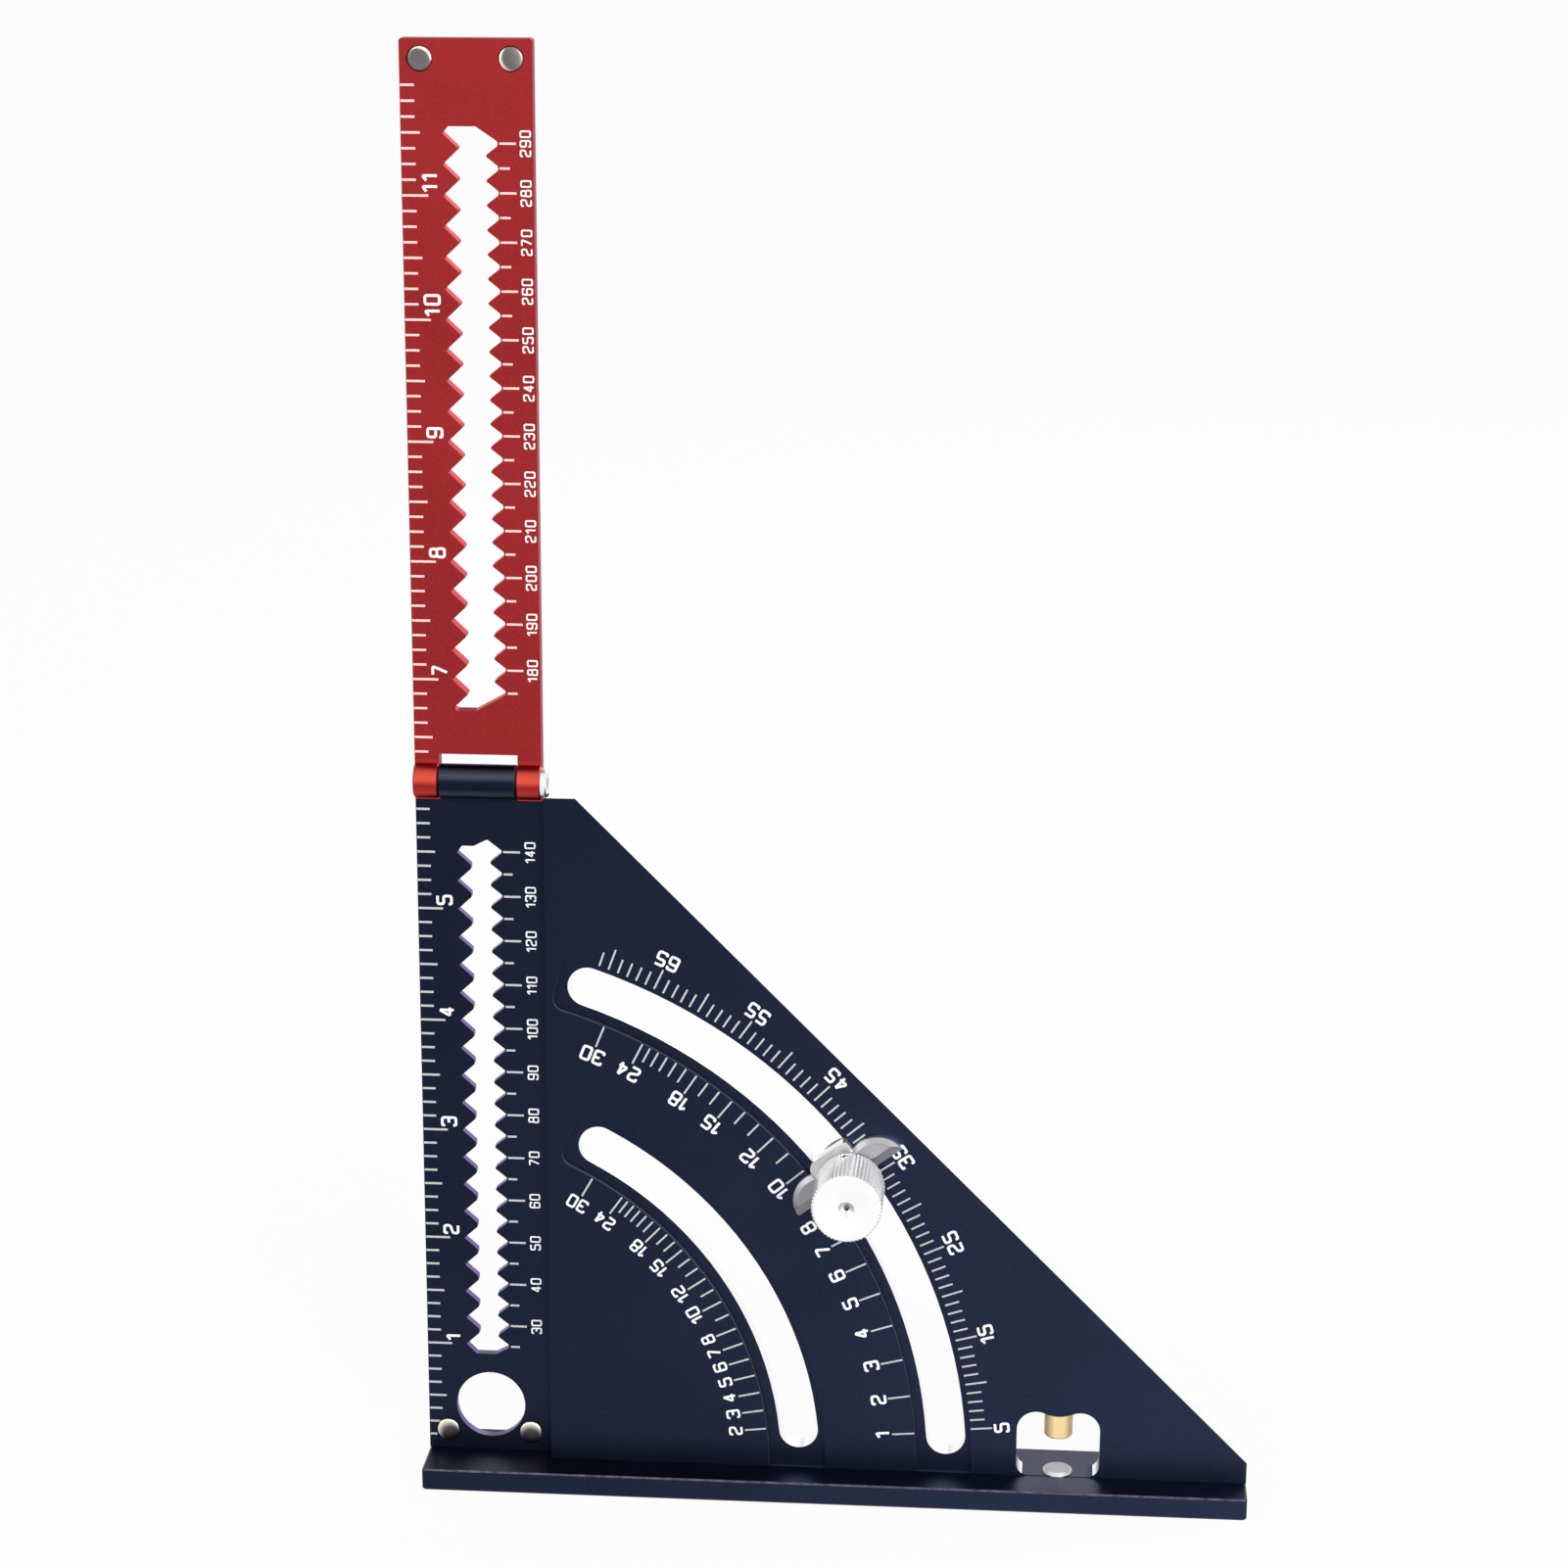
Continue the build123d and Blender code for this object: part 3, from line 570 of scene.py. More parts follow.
@dataclass(frozen=True)
class BrightMetal:
    """Bare or plated bright metal with the lines of its making."""

    name: str
    colour: Colour
    grain: Grain
    roughness: float
    centre: Place = (0.0, 0.0, 0.0)
    variation: float = 0.12
    relief: float = 0.15
    metallic: float = 1.0
    turned_scale: float = 4200.0
    brushed_scale: float = 5200.0
    brushed_stretch: float = 0.06
    plated_scale: float = 900.0
    smudge_scale: float = 260.0
    smudge_band: Flat = (0.45, 0.75)
    smudge_share: float = 0.4
    smudge_factor: float = 0.9

    def lines(self, g: Graph, place: bpy.types.NodeSocket) -> bpy.types.NodeSocket:
        """Height of the tool's lines.

        Args:
            g: The graph to add to.
            place: Object coordinates from the piece's centre.

        Returns:
            A noise value that runs along the lines.
        """
        part = g.split(place)
        x, y, z = part["X"], part["Y"], part["Z"]
        if self.grain is Grain.TURNED_ABOUT_Y:
            line = g.add("ShaderNodeCombineXYZ", None, X=g.reach(x, z), Y=y)
            return g.noise(line.outputs[0], self.turned_scale, 2.0, 0.6)
        if self.grain is Grain.TURNED_ABOUT_Z:
            line = g.add("ShaderNodeCombineXYZ", None, X=g.reach(x, y), Y=z)
            return g.noise(line.outputs[0], self.turned_scale, 2.0, 0.6)
        if self.grain is Grain.BRUSHED:
            stretched = g.math("MULTIPLY", x, self.brushed_stretch)
            line = g.add("ShaderNodeCombineXYZ", None, X=stretched, Y=y, Z=z)
            return g.noise(line.outputs[0], self.brushed_scale, 3.0, 0.6)
        return g.noise(place, self.plated_scale, 3.0, 0.6)

    def metal(self, g: Graph, normal: object) -> object:
        """Share of bare metal gloss, a number or a socket."""
        return self.metallic

    def accent(self, g: Graph, place: object, normal: object, colour: object) -> bpy.types.NodeSocket:
        """Colour with the piece's own accents; a plain metal has none.

        Args:
            g: The graph to add to; not used here.
            place: Object coordinates from the piece's centre; not used here.
            normal: The surface's normal in them; not used here.
            colour: The colour so far.

        Returns:
            The colour's socket.
        """
        return colour

    def material(self) -> bpy.types.Material:
        """Builds the finish.

        Returns:
            The material.
        """
        made, g = blank(self.name)
        where = g.add("ShaderNodeTexCoord")
        centred = g.add("ShaderNodeVectorMath", {"operation": "SUBTRACT"})
        g.feed(centred.inputs[0], where.outputs["Object"])
        g.feed(centred.inputs[1], self.centre)
        place = centred.outputs[0]
        lines = self.lines(g, place)
        smudge = g.noise(place, self.smudge_scale, 3.0, 0.6)
        dark, light = shade(self.colour, 1.0 - self.variation), shade(self.colour)
        colour = g.mix(g.ramp(lines, *NOISE_BAND, 0.0, 1.0), dark, light)
        smudged = g.ramp(smudge, *self.smudge_band, 0.0, self.smudge_share)
        colour = g.mix(smudged, colour, shade(self.colour, self.smudge_factor))
        colour = self.accent(g, place, where.outputs["Normal"], colour)
        rough = g.ramp(lines, *NOISE_BAND, self.roughness + ROUGHER, self.roughness - SMOOTHER)
        shader = g.add("ShaderNodeBsdfPrincipled", None, Base_Color=colour, Roughness=rough)
        g.feed(shader.inputs["Metallic"], self.metal(g, where.outputs["Normal"]))
        g.feed(shader.inputs["Normal"], g.bump(lines, self.relief, GRAIN_DEPTH))
        g.add("ShaderNodeOutputMaterial", None, Surface=shader.outputs[0])
        return made


@dataclass(frozen=True)
class BevelledMetal(BrightMetal):
    """Satin faces with a painted highlight on the bevels, a painted white reflection on the walls and a
    lighter middle along the slot.
    """

    # Painted highlight on the bevels and painted white reflection on the walls.
    bevel: Colour = (0.46, 0.46, 0.48)
    wall: Colour = (0.9, 0.9, 0.92)
    hub: Colour = (0.54, 0.535, 0.53)
    slot_radius: float = 0.11697
    hub_half: float = 0.0052
    bevel_range: Flat = (0.9, 0.97)
    wall_range: Flat = (0.3, 0.5)

    def accent(self, g: Graph, place: object, normal: object, colour: object) -> bpy.types.NodeSocket:
        """Colour with the lighter middle, the painted highlight on the bevels and the painted reflection on
        the walls.

        Args:
            g: The graph to add to.
            place: Object coordinates from the piece's centre.
            normal: The surface's normal in them.
            colour: The colour so far.

        Returns:
            The colour's socket.
        """
        facing = g.math("ABSOLUTE", g.split(normal)["Y"])
        off_slot = g.math("ABSOLUTE", g.math("SUBTRACT", g.from_corner(place), self.slot_radius))
        colour = g.mix(g.math("LESS_THAN", off_slot, self.hub_half), colour, shade(self.hub))
        colour = g.mix(g.ramp(facing, *self.bevel_range, 1.0, 0.0), colour, shade(self.bevel))
        return g.mix(g.ramp(facing, *self.wall_range, 1.0, 0.0), colour, shade(self.wall))


@dataclass(frozen=True)
class ButtonSteel(BrightMetal):
    """Brushed top, with a painted white highlight round its less metallic rim."""

    # Painted highlight round the rim.
    rim: Colour = (0.95, 0.95, 0.96)
    rim_range: Flat = (0.6, 0.9)
    rim_gloss: float = 0.3

    def metal(self, g: Graph, normal: object) -> object:
        """Share of bare metal gloss: whole on top, little on the rim."""
        return g.ramp(g.split(normal)["Z"], *self.rim_range, self.rim_gloss, 1.0)

    def accent(self, g: Graph, place: object, normal: object, colour: object) -> bpy.types.NodeSocket:
        """Colour with the painted highlight on the rim.

        Args:
            g: The graph to add to.
            place: Object coordinates from the piece's centre; not used here.
            normal: The surface's normal in them.
            colour: The colour so far.

        Returns:
            The colour's socket.
        """
        return g.mix(g.ramp(g.split(normal)["Z"], *self.rim_range, 0.0, 1.0), shade(self.rim), colour)


@dataclass(frozen=True)
class KnobMetal(BrightMetal):
    """Turned, clear anodised metal; its countersunk centre carries painted shade on its upper half, painted
    light on its lower half and painted shade in the pilot hole.
    """

    mark: float = 0.00178
    pilot: float = 0.00062
    # Painted light in the countersunk centre: shade on its upper half, light on its lower half, shade in the
    # pilot hole.
    mark_dark: Colour = (0.42, 0.42, 0.43)
    mark_light: Colour = (0.74, 0.74, 0.74)
    mark_pilot: Colour = (0.2, 0.18, 0.17)
    cone_range: Flat = (-0.25, 0.3)
    barrel_range: Flat = (0.6, 0.9)
    barrel_gloss: float = 0.45

    def metal(self, g: Graph, normal: object) -> object:
        """Share of bare metal gloss: whole on the face, less on the knurled barrel."""
        facing = g.math("ABSOLUTE", g.split(normal)["Y"])
        return g.ramp(facing, *self.barrel_range, self.barrel_gloss, 1.0)

    def accent(self, g: Graph, place: object, normal: object, colour: object) -> bpy.types.NodeSocket:
        """Colour with the painted shade and light of the centre mark.

        Args:
            g: The graph to add to.
            place: Object coordinates from the piece's centre.
            normal: The surface's normal in them.
            colour: The colour so far.

        Returns:
            The colour's socket.
        """
        part, tilt = g.split(place), g.split(normal)
        out = g.reach(part["X"], part["Z"])
        upwards = g.ramp(tilt["Z"], *self.cone_range, 0.0, 1.0)
        cone = g.mix(upwards, shade(self.mark_dark), shade(self.mark_light))
        colour = g.mix(g.math("LESS_THAN", out, self.mark), colour, cone)
        return g.mix(g.math("LESS_THAN", out, self.pilot), colour, shade(self.mark_pilot))


@dataclass(frozen=True)
class MagnetPlate(BrightMetal):
    """Nickel plate, with a painted highlight along one side of the rim and painted shade across from it."""

    # Painted highlight: the light crescent on the rim; painted shade: the dark side across from it.
    worn: Colour = (0.86, 0.82, 0.68)
    dull: Colour = (0.1, 0.092, 0.105)
    lean: Flat = (-0.6, 0.8)
    radius: float = 0.0025
    crescent: float = 0.6
    crescent_shift: float = 0.45
    crescent_limit: float = 1.42
    crescent_edge: float = 1.3
    dull_range: Flat = (-0.8, 0.1)
    dull_share: float = 0.85

    def accent(self, g: Graph, place: object, normal: object, colour: object) -> bpy.types.NodeSocket:
        """Colour with the painted highlight crescent and the painted shade on the far side.

        Args:
            g: The graph to add to.
            place: Object coordinates from the magnet's centre.
            normal: The surface's normal in them; not used here.
            colour: The colour so far.

        Returns:
            The colour's socket.
        """
        part = g.split(place)
        right, up = self.lean
        shift = self.radius * self.crescent_shift
        out = g.reach(g.math("ADD", part["X"], right * shift), g.math("ADD", part["Z"], up * shift))
        side = g.math("ADD", g.math("MULTIPLY", part["X"], right), g.math("MULTIPLY", part["Z"], up))
        low, high = (share * self.radius for share in self.dull_range)
        colour = g.mix(g.ramp(side, low, high, self.dull_share, 0.0), colour, shade(self.dull))
        inner = self.radius * (self.crescent_limit - self.crescent)
        outer = self.radius * self.crescent_edge
        return g.mix(g.ramp(out, inner, outer, 0.0, 1.0), colour, shade(self.worn))


@dataclass(frozen=True)
class MarkedWhite:
    """Pale mark that a laser leaves in the dye: dry, slightly uneven."""

    name: str
    colour: Colour
    dot_scale: float = 4800.0
    dot_band: Flat = (0.35, 0.7)
    dot_factor: float = 0.9
    roughness: Flat = (0.62, 0.8)
    relief: float = 0.2

    def material(self) -> bpy.types.Material:
        """Builds the finish.

        Returns:
            The material.
        """
        made, g = blank(self.name)
        place = g.add("ShaderNodeTexCoord").outputs["Object"]
        dots = g.noise(place, self.dot_scale, 2.0, 0.6)
        dotted = g.ramp(dots, *self.dot_band, 0.0, 1.0)
        colour = g.mix(dotted, shade(self.colour, self.dot_factor), shade(self.colour))
        shader = g.add("ShaderNodeBsdfPrincipled", None, Base_Color=colour)
        g.feed(shader.inputs["Roughness"], g.ramp(dots, *NOISE_BAND, *self.roughness))
        g.feed(shader.inputs["Normal"], g.bump(dots, self.relief, GRAIN_DEPTH))
        g.add("ShaderNodeOutputMaterial", None, Surface=shader.outputs[0])
        return made


# --- flat strokes -----------------------------------------------------------------
# How far round an eased corner its points lie.
EASED_SHARES = (0.0, 0.33, 0.67, 1.0)

# The least cosine that a mitre is drawn out by, so that no corner grows a spike.
MITRE_LIMIT = 0.5


def eased(points: list[Flat], radius: float, closed: bool) -> list[Flat]:
    """Path with its corners rounded off.

    Args:
        points: Corners of the path.
        radius: How far from a corner the rounding starts.
        closed: Whether the last corner joins the first.

    Returns:
        The rounded path's points.
    """
    count = len(points)
    path: list[Flat] = []
    for index, corner in enumerate(points):
        if not closed and index in (0, count - 1):
            path.append(corner)
            continue
        here = Vector(corner)
        before = Vector(points[index - 1]) - here
        after = Vector(points[(index + 1) % count]) - here
        cut = min(radius, before.length / 2, after.length / 2)
        start, end = here + before.normalized() * cut, here + after.normalized() * cut
        for share in EASED_SHARES:
            near, far = start.lerp(here, share), here.lerp(end, share)
            path.append(tuple(near.lerp(far, share)))
    return path


def stroke_sides(path: list[Flat], width: float, closed: bool) -> tuple[list[Flat], list[Flat]]:
    """Both sides of a stroke of even width, mitred at its corners.

    Args:
        path: The stroke's middle line.
        width: Its width.
        closed: Whether it closes on itself.

    Returns:
        The left side and the right side, point by point.
    """
    points = [Vector(p) for p in path]
    count = len(points)
    left: list[Flat] = []
    right: list[Flat] = []
    for index, here in enumerate(points):
        before = points[index - 1] if closed or index > 0 else None
        after = points[(index + 1) % count] if closed or index < count - 1 else None
        into = (here - before).normalized() if before is not None else (after - here).normalized()
        out = (after - here).normalized() if after is not None else into
        across = Vector((-into.y - out.y, into.x + out.x)).normalized()
        reach = width / 2 / max(MITRE_LIMIT, across.dot(Vector((-out.y, out.x))))
        left.append(tuple(here + across * reach))
        right.append(tuple(here - across * reach))
    return left, right


# Each numeral's strokes: whether the stroke closes, and its corners as shares of width and height.
NUMERALS: dict[str, tuple[tuple[bool, tuple[Flat, ...]], ...]] = {
    "0": ((True, ((0, 0), (1, 0), (1, 1), (0, 1))),),
    "1": ((False, ((0.25, 0.74), (0.8, 1.0), (0.8, 0.0))),),
    "2": ((False, ((0, 0.76), (0, 1), (1, 1), (1, 0.56), (0, 0.38), (0, 0), (1, 0))),),
    "3": (
        (False, ((0, 0.8), (0, 1), (1, 1), (1, 0), (0, 0), (0, 0.2))),
        (False, ((0.35, 0.52), (1, 0.52))),
    ),
    "4": ((False, ((0.7, 1), (0, 0.28), (1.02, 0.28))), (False, ((0.72, 0), (0.72, 0.98)))),
    "5": ((False, ((1, 1), (0, 1), (0, 0.56), (1, 0.56), (1, 0), (0, 0), (0, 0.2))),),
    "6": ((False, ((1, 0.8), (1, 1), (0, 1), (0, 0), (1, 0), (1, 0.56), (0.14, 0.56))),),
    "7": ((False, ((0, 1), (1, 1), (0.3, 0))),),
    "8": (
        (True, ((0, 0), (1, 0), (1, 0.53), (0, 0.53))),
        (True, ((0.06, 0.53), (0.94, 0.53), (0.94, 1), (0.06, 1))),
    ),
    "9": ((False, ((0, 0.2), (0, 0), (1, 0), (1, 1), (0, 1), (0, 0.44), (0.86, 0.44))),),
}


@dataclass(frozen=True)
class Lettering:
    """Squarish numerals of one size, in millimetres."""

    height: float
    width: float
    stroke: float
    gap: float
    one_width: float = 0.62
    one_shift: float = 0.7
    easing: float = 0.85

    def advance(self, sign: str) -> float:
        """Width that a numeral takes, without the gap after it."""
        return self.width * (self.one_width if sign == "1" else 1.0)

    def length(self, text: str) -> float:
        """Length of a number from its first stroke to its last."""
        return sum(self.advance(sign) + self.gap for sign in text) - self.gap

    def strokes(self, text: str) -> list[tuple[bool, list[Flat]]]:
        """Middle lines of a number's strokes.

        Args:
            text: The number.

        Returns:
            For each stroke, whether it closes, and its points from the number's lower left.
        """
        lines: list[tuple[bool, list[Flat]]] = []
        cursor = 0.0
        across, up = self.width - self.stroke, self.height - self.stroke
        for sign in text:
            shift = cursor + self.stroke / 2 - (self.width - self.advance(sign)) * self.one_shift
            for closed, corners in NUMERALS[sign]:
                points = [(shift + x * across, self.stroke / 2 + y * up) for x, y in corners]
                lines.append((closed, eased(points, self.stroke * self.easing, closed)))
            cursor += self.advance(sign) + self.gap
        return lines


class Reading(Enum):
    """Which way a number is read."""

    UP_THE_EDGE = "up_the_edge"
    ROUND_THE_CORNER = "round_the_corner"


@dataclass
class Marking:
    """One scale's marks, gathered as thin closed prisms on one face.

    Neighbouring strokes stand up by slightly different amounts, so no two lie in one plane.
    """

    name: str
    body: str
    face_depth: float
    proud: float = 0.02
    sunk: float = 0.04
    layer_rise: float = 0.002
    layer_cycle: int = 4
    vertices: list[Vector] = field(default_factory=list)
    faces: list[Face] = field(default_factory=list)
    layer: int = 0

    def prism(self, left: list[Flat], right: list[Flat], closed: bool) -> None:
        """Adds one stroke as a closed prism.

        Args:
            left: Its left side in X and Z.
            right: Its right side in X and Z.
            closed: Whether it closes on itself.
        """
        front = self.face_depth - self.proud - self.layer_rise * (self.layer % self.layer_cycle)
        back = self.face_depth + self.sunk
        self.layer += 1
        start, count = len(self.vertices), len(left)
        for (lx, lz), (rx, rz) in zip(left, right):
            self.vertices += [at(lx, front, lz), at(rx, front, rz), at(rx, back, rz), at(lx, back, lz)]
        spans = count if closed else count - 1
        for index in range(spans):
            a, b = start + 4 * index, start + 4 * ((index + 1) % count)
            for side in range(4):
                other = (side + 1) % 4
                self.faces.append((a + side, a + other, b + other, b + side))
        if not closed:
            last = start + 4 * (count - 1)
            self.faces.append((start, start + 3, start + 2, start + 1))
            self.faces.append((last, last + 1, last + 2, last + 3))

    def tick(self, start: Flat, end: Flat, width: float) -> None:
        """Adds a straight tick from start to end."""
        left, right = stroke_sides([start, end], width, False)
        self.prism(left, right, False)

    def number(self, text: str, style: Lettering, put: Callable[[float, float], Flat]) -> None:
        """Adds a number.

        Args:
            text: The number.
            style: Its lettering.
            put: Turns the number's own right and up into X and Z.
        """
        for closed, path in style.strokes(text):
            left, right = stroke_sides(path, style.stroke, closed)
            self.prism([put(*p) for p in left], [put(*p) for p in right], closed)

    def build(self, finish: bpy.types.Material) -> None:
        """Makes the marks' mesh and sets it on its body.

        Args:
            finish: The marks' finish.
        """
        made = solid(self.name, self.vertices, self.faces, finish)
        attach(made, self.body)
        LOG.info("%s: %d strokes", self.name, self.layer)


def solid(
    name: str,
    vertices: list[Vector],
    faces: list[Face],
    finish: bpy.types.Material,
    smooth_below: float | None = None,
) -> bpy.types.Object:
    """Mesh object with outward normals.

    Args:
        name: The object's name.
        vertices: Its points.
        faces: Its faces, as point numbers.
        finish: Its material.
        smooth_below: Edges that bend less than this many degrees look smooth; None keeps all flat.

    Returns:
        The linked object.
    """
    mesh = bpy.data.meshes.new(name)
    work = bmesh.new()
    points = [work.verts.new(v) for v in vertices]
    for face in faces:
        work.faces.new([points[i] for i in face])
    bmesh.ops.recalc_face_normals(work, faces=work.faces)
    if smooth_below is not None:
        limit = math.radians(smooth_below)
        for edge in work.edges:
            edge.smooth = edge.calc_face_angle(0.0) < limit
        for face in work.faces:
            face.smooth = True
    work.to_mesh(mesh)
    work.free()
    mesh.materials.append(finish)
    made = bpy.data.objects.new(name, mesh)
    bpy.context.scene.collection.objects.link(made)
    return made


# --- scales -----------------------------------------------------------------------
def reader(way: Reading, anchor: Flat, angle: float = 0.0) -> Callable[[float, float], Flat]:
    """How a number's own right and up lie on the face.

    Args:
        way: Reading direction.
        anchor: Where the number's lower left lies, in X and Z.
        angle: Angle about the corner, in radians, for a number on an arc.

    Returns:
        The function from right and up to X and Z.
    """
    if way is Reading.UP_THE_EDGE:
        return lambda right, up: (anchor[0] - up, anchor[1] + right)
    cos, sin = math.cos(angle), math.sin(angle)
    return lambda right, up: (
        anchor[0] - right * sin - up * cos,
        anchor[1] + right * cos - up * sin,
    )


@dataclass(frozen=True)
class Inks:
    """The finishes of one face's marks: its ticks' and its numbers'."""

    ticks: bpy.types.Material
    numbers: bpy.types.Material


@dataclass
class MarkPair:
    """One scale's ticks and its numbers, each gathered on its own."""

    name: str
    body: str
    face_depth: float
    ticks: Marking = field(init=False)
    numbers: Marking = field(init=False)

    def __post_init__(self) -> None:
        """Starts both markings."""
        self.ticks = Marking(f"{self.name}_ticks", self.body, self.face_depth)
        self.numbers = Marking(f"{self.name}_numbers", self.body, self.face_depth)

    def build(self, inks: Inks) -> None:
        """Makes the ticks' mesh and the numbers' mesh."""
        self.ticks.build(inks.ticks)
        self.numbers.build(inks.numbers)


@dataclass
class InchScale:
    """Eighth-inch ticks from the ruling edge, numbered at each inch."""

    name: str
    body: str
    first: int
    last: int
    tick_width: float = 0.48
    short: float = 3.0
    half: float = 4.0
    whole: float = 5.5
    inset: float = 0.12
    number_base: float = 7.65
    number_rise: float = 0.75
    lettering: Lettering = Lettering(height=3.6, width=2.35, stroke=0.56, gap=0.75)
    clear_of: str = ""
    clearance: float = 0.15
    parts: int = 8

    def cut_short(self, height: float, reach: float) -> float:
        """How far a tick reaches, short of the magnet that it would run onto.

        Args:
            height: The tick's height.
            reach: Its full reach.

        Returns:
            The reach that stays clear.
        """
        if not self.clear_of:
            return reach
        low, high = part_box(self.clear_of)
        x = (low.x + high.x) / 2 / MM - RULING_EDGE
        z = (low.z + high.z) / 2 / MM - FENCE_TOP
        radius = (high.x - low.x) / 2 / MM + self.clearance
        drop = abs(height - z)
        if drop >= radius:
            return reach
        return min(reach, x - math.sqrt(radius**2 - drop**2))

    def build(self, inks: Inks) -> None:
        """Marks the scale.

        Args:
            inks: The marks' finishes.
        """
        marks = MarkPair(self.name, self.body, STRIP_FACE)
        lengths = {0: self.whole, self.parts // 2: self.half}
        for eighth in range(self.first, self.last + 1):
            height = eighth * INCH / self.parts
            inches, part = divmod(eighth, self.parts)
            reach = self.cut_short(height, lengths.get(part, self.short))
            marks.ticks.tick((self.inset, height), (reach, height), self.tick_width)
            if part == 0:
                put = reader(Reading.UP_THE_EDGE, (self.number_base, height + self.number_rise))
                marks.numbers.number(str(inches), self.lettering, put)
        marks.build(inks)


@dataclass
class MetricScale:
    """Five-millimetre ticks beside the slot, numbered at each ten."""

    name: str
    body: str
    first: int
    last: int
    start: float
    short_end: float
    long_end: float
    number_base: float
    lettering: Lettering
    tick_width: float = 0.46
    step: int = 5
    numbered_step: int = 10

    def build(self, inks: Inks) -> None:
        """Marks the scale.

        Args:
            inks: The marks' finishes.
        """
        marks = MarkPair(self.name, self.body, STRIP_FACE)
        for height in range(self.first, self.last + 1, self.step):
            numbered = height % self.numbered_step == 0
            end = self.long_end if numbered else self.short_end
            marks.ticks.tick((self.start, height), (end, height), self.tick_width)
            if numbered:
                text = str(height)
                low = height - self.lettering.length(text) / 2
                put = reader(Reading.UP_THE_EDGE, (self.number_base, low))
                marks.numbers.number(text, self.lettering, put)
        marks.build(inks)


# Degrees between the degree scale's long ticks, and between its numbers.
LONG_STEP = 5
NUMBER_STEP = 10

# Whole rises of the rafter scales: ticks close together up to the last close one, then the far
# ones; numbers in turn up to one rise, then at the listed ones.
LAST_CLOSE_RISE = 24
FAR_RISES = (30,)
LAST_NUMBERED_IN_TURN = 8
NUMBERED_RISES = (10, 12, 15, 18, 24, 30)


@dataclass(frozen=True)
class ArcTick:
    """One tick on an arc: its angle in degrees, its two radii and its number, if any."""

    angle: float
    inner: float
    outer: float
    number: str = ""


@dataclass
class ArcScale:
    """Ticks and numbers on arcs about the corner."""

    name: str
    ticks: list[ArcTick]
    number_radius: float
    lettering: Lettering
    tick_width: float = 0.4

    def build(self, inks: Inks) -> None:
        """Marks the scale.

        Args:
            inks: The marks' finishes.
        """
        marks = MarkPair(self.name, "square", PLATE_FACE)
        for tick in self.ticks:
            turn = math.radians(tick.angle)
            cos, sin = math.cos(turn), math.sin(turn)
            marks.ticks.tick(
                (tick.inner * cos, tick.inner * sin),
                (tick.outer * cos, tick.outer * sin),
                self.tick_width,
            )
            if tick.number:
                back = self.lettering.length(tick.number) / 2
                base = self.number_radius + self.lettering.height
                anchor = (base * cos + back * sin, base * sin - back * cos)
                put = reader(Reading.ROUND_THE_CORNER, anchor, turn)
                marks.numbers.number(tick.number, self.lettering, put)
        marks.build(inks)


def degree_ticks(first: int, last: int, radii: Radii) -> list[ArcTick]:
    """Ticks of the degree scale: each degree, longer at each five, numbered at every other five.

    Args:
        first: The lowest angle.
        last: The highest angle.
        radii: Inner radius, short tick's outer radius, long tick's outer radius.

    Returns:
        The ticks.
    """
    inner, short_outer, long_outer = radii
    ticks = []
    for angle in range(first, last + 1):
        outer = long_outer if angle % LONG_STEP == 0 else short_outer
        number = str(angle) if angle % NUMBER_STEP == LONG_STEP else ""
        ticks.append(ArcTick(angle, inner, outer, number))
    return ticks


def rafter_ticks(run: float, lowest: int, radii: Radii) -> list[ArcTick]:
    """Ticks of a rafter scale, one for each whole rise.

    Args:
        run: The rafter's run that the rises are set against.
        lowest: The lowest rise.
        radii: Outer radius, long tick's inner radius, short tick's inner radius.

    Returns:
        The ticks.
    """
    outer, long_inner, short_inner = radii
    ticks = []
    for rise in (*range(lowest, LAST_CLOSE_RISE + 1), *FAR_RISES):
        named = rise <= LAST_NUMBERED_IN_TURN or rise in NUMBERED_RISES
        angle = math.degrees(math.atan2(rise, run))
        number = str(rise) if named else ""
        ticks.append(ArcTick(angle, long_inner if named else short_inner, outer, number))
    return ticks


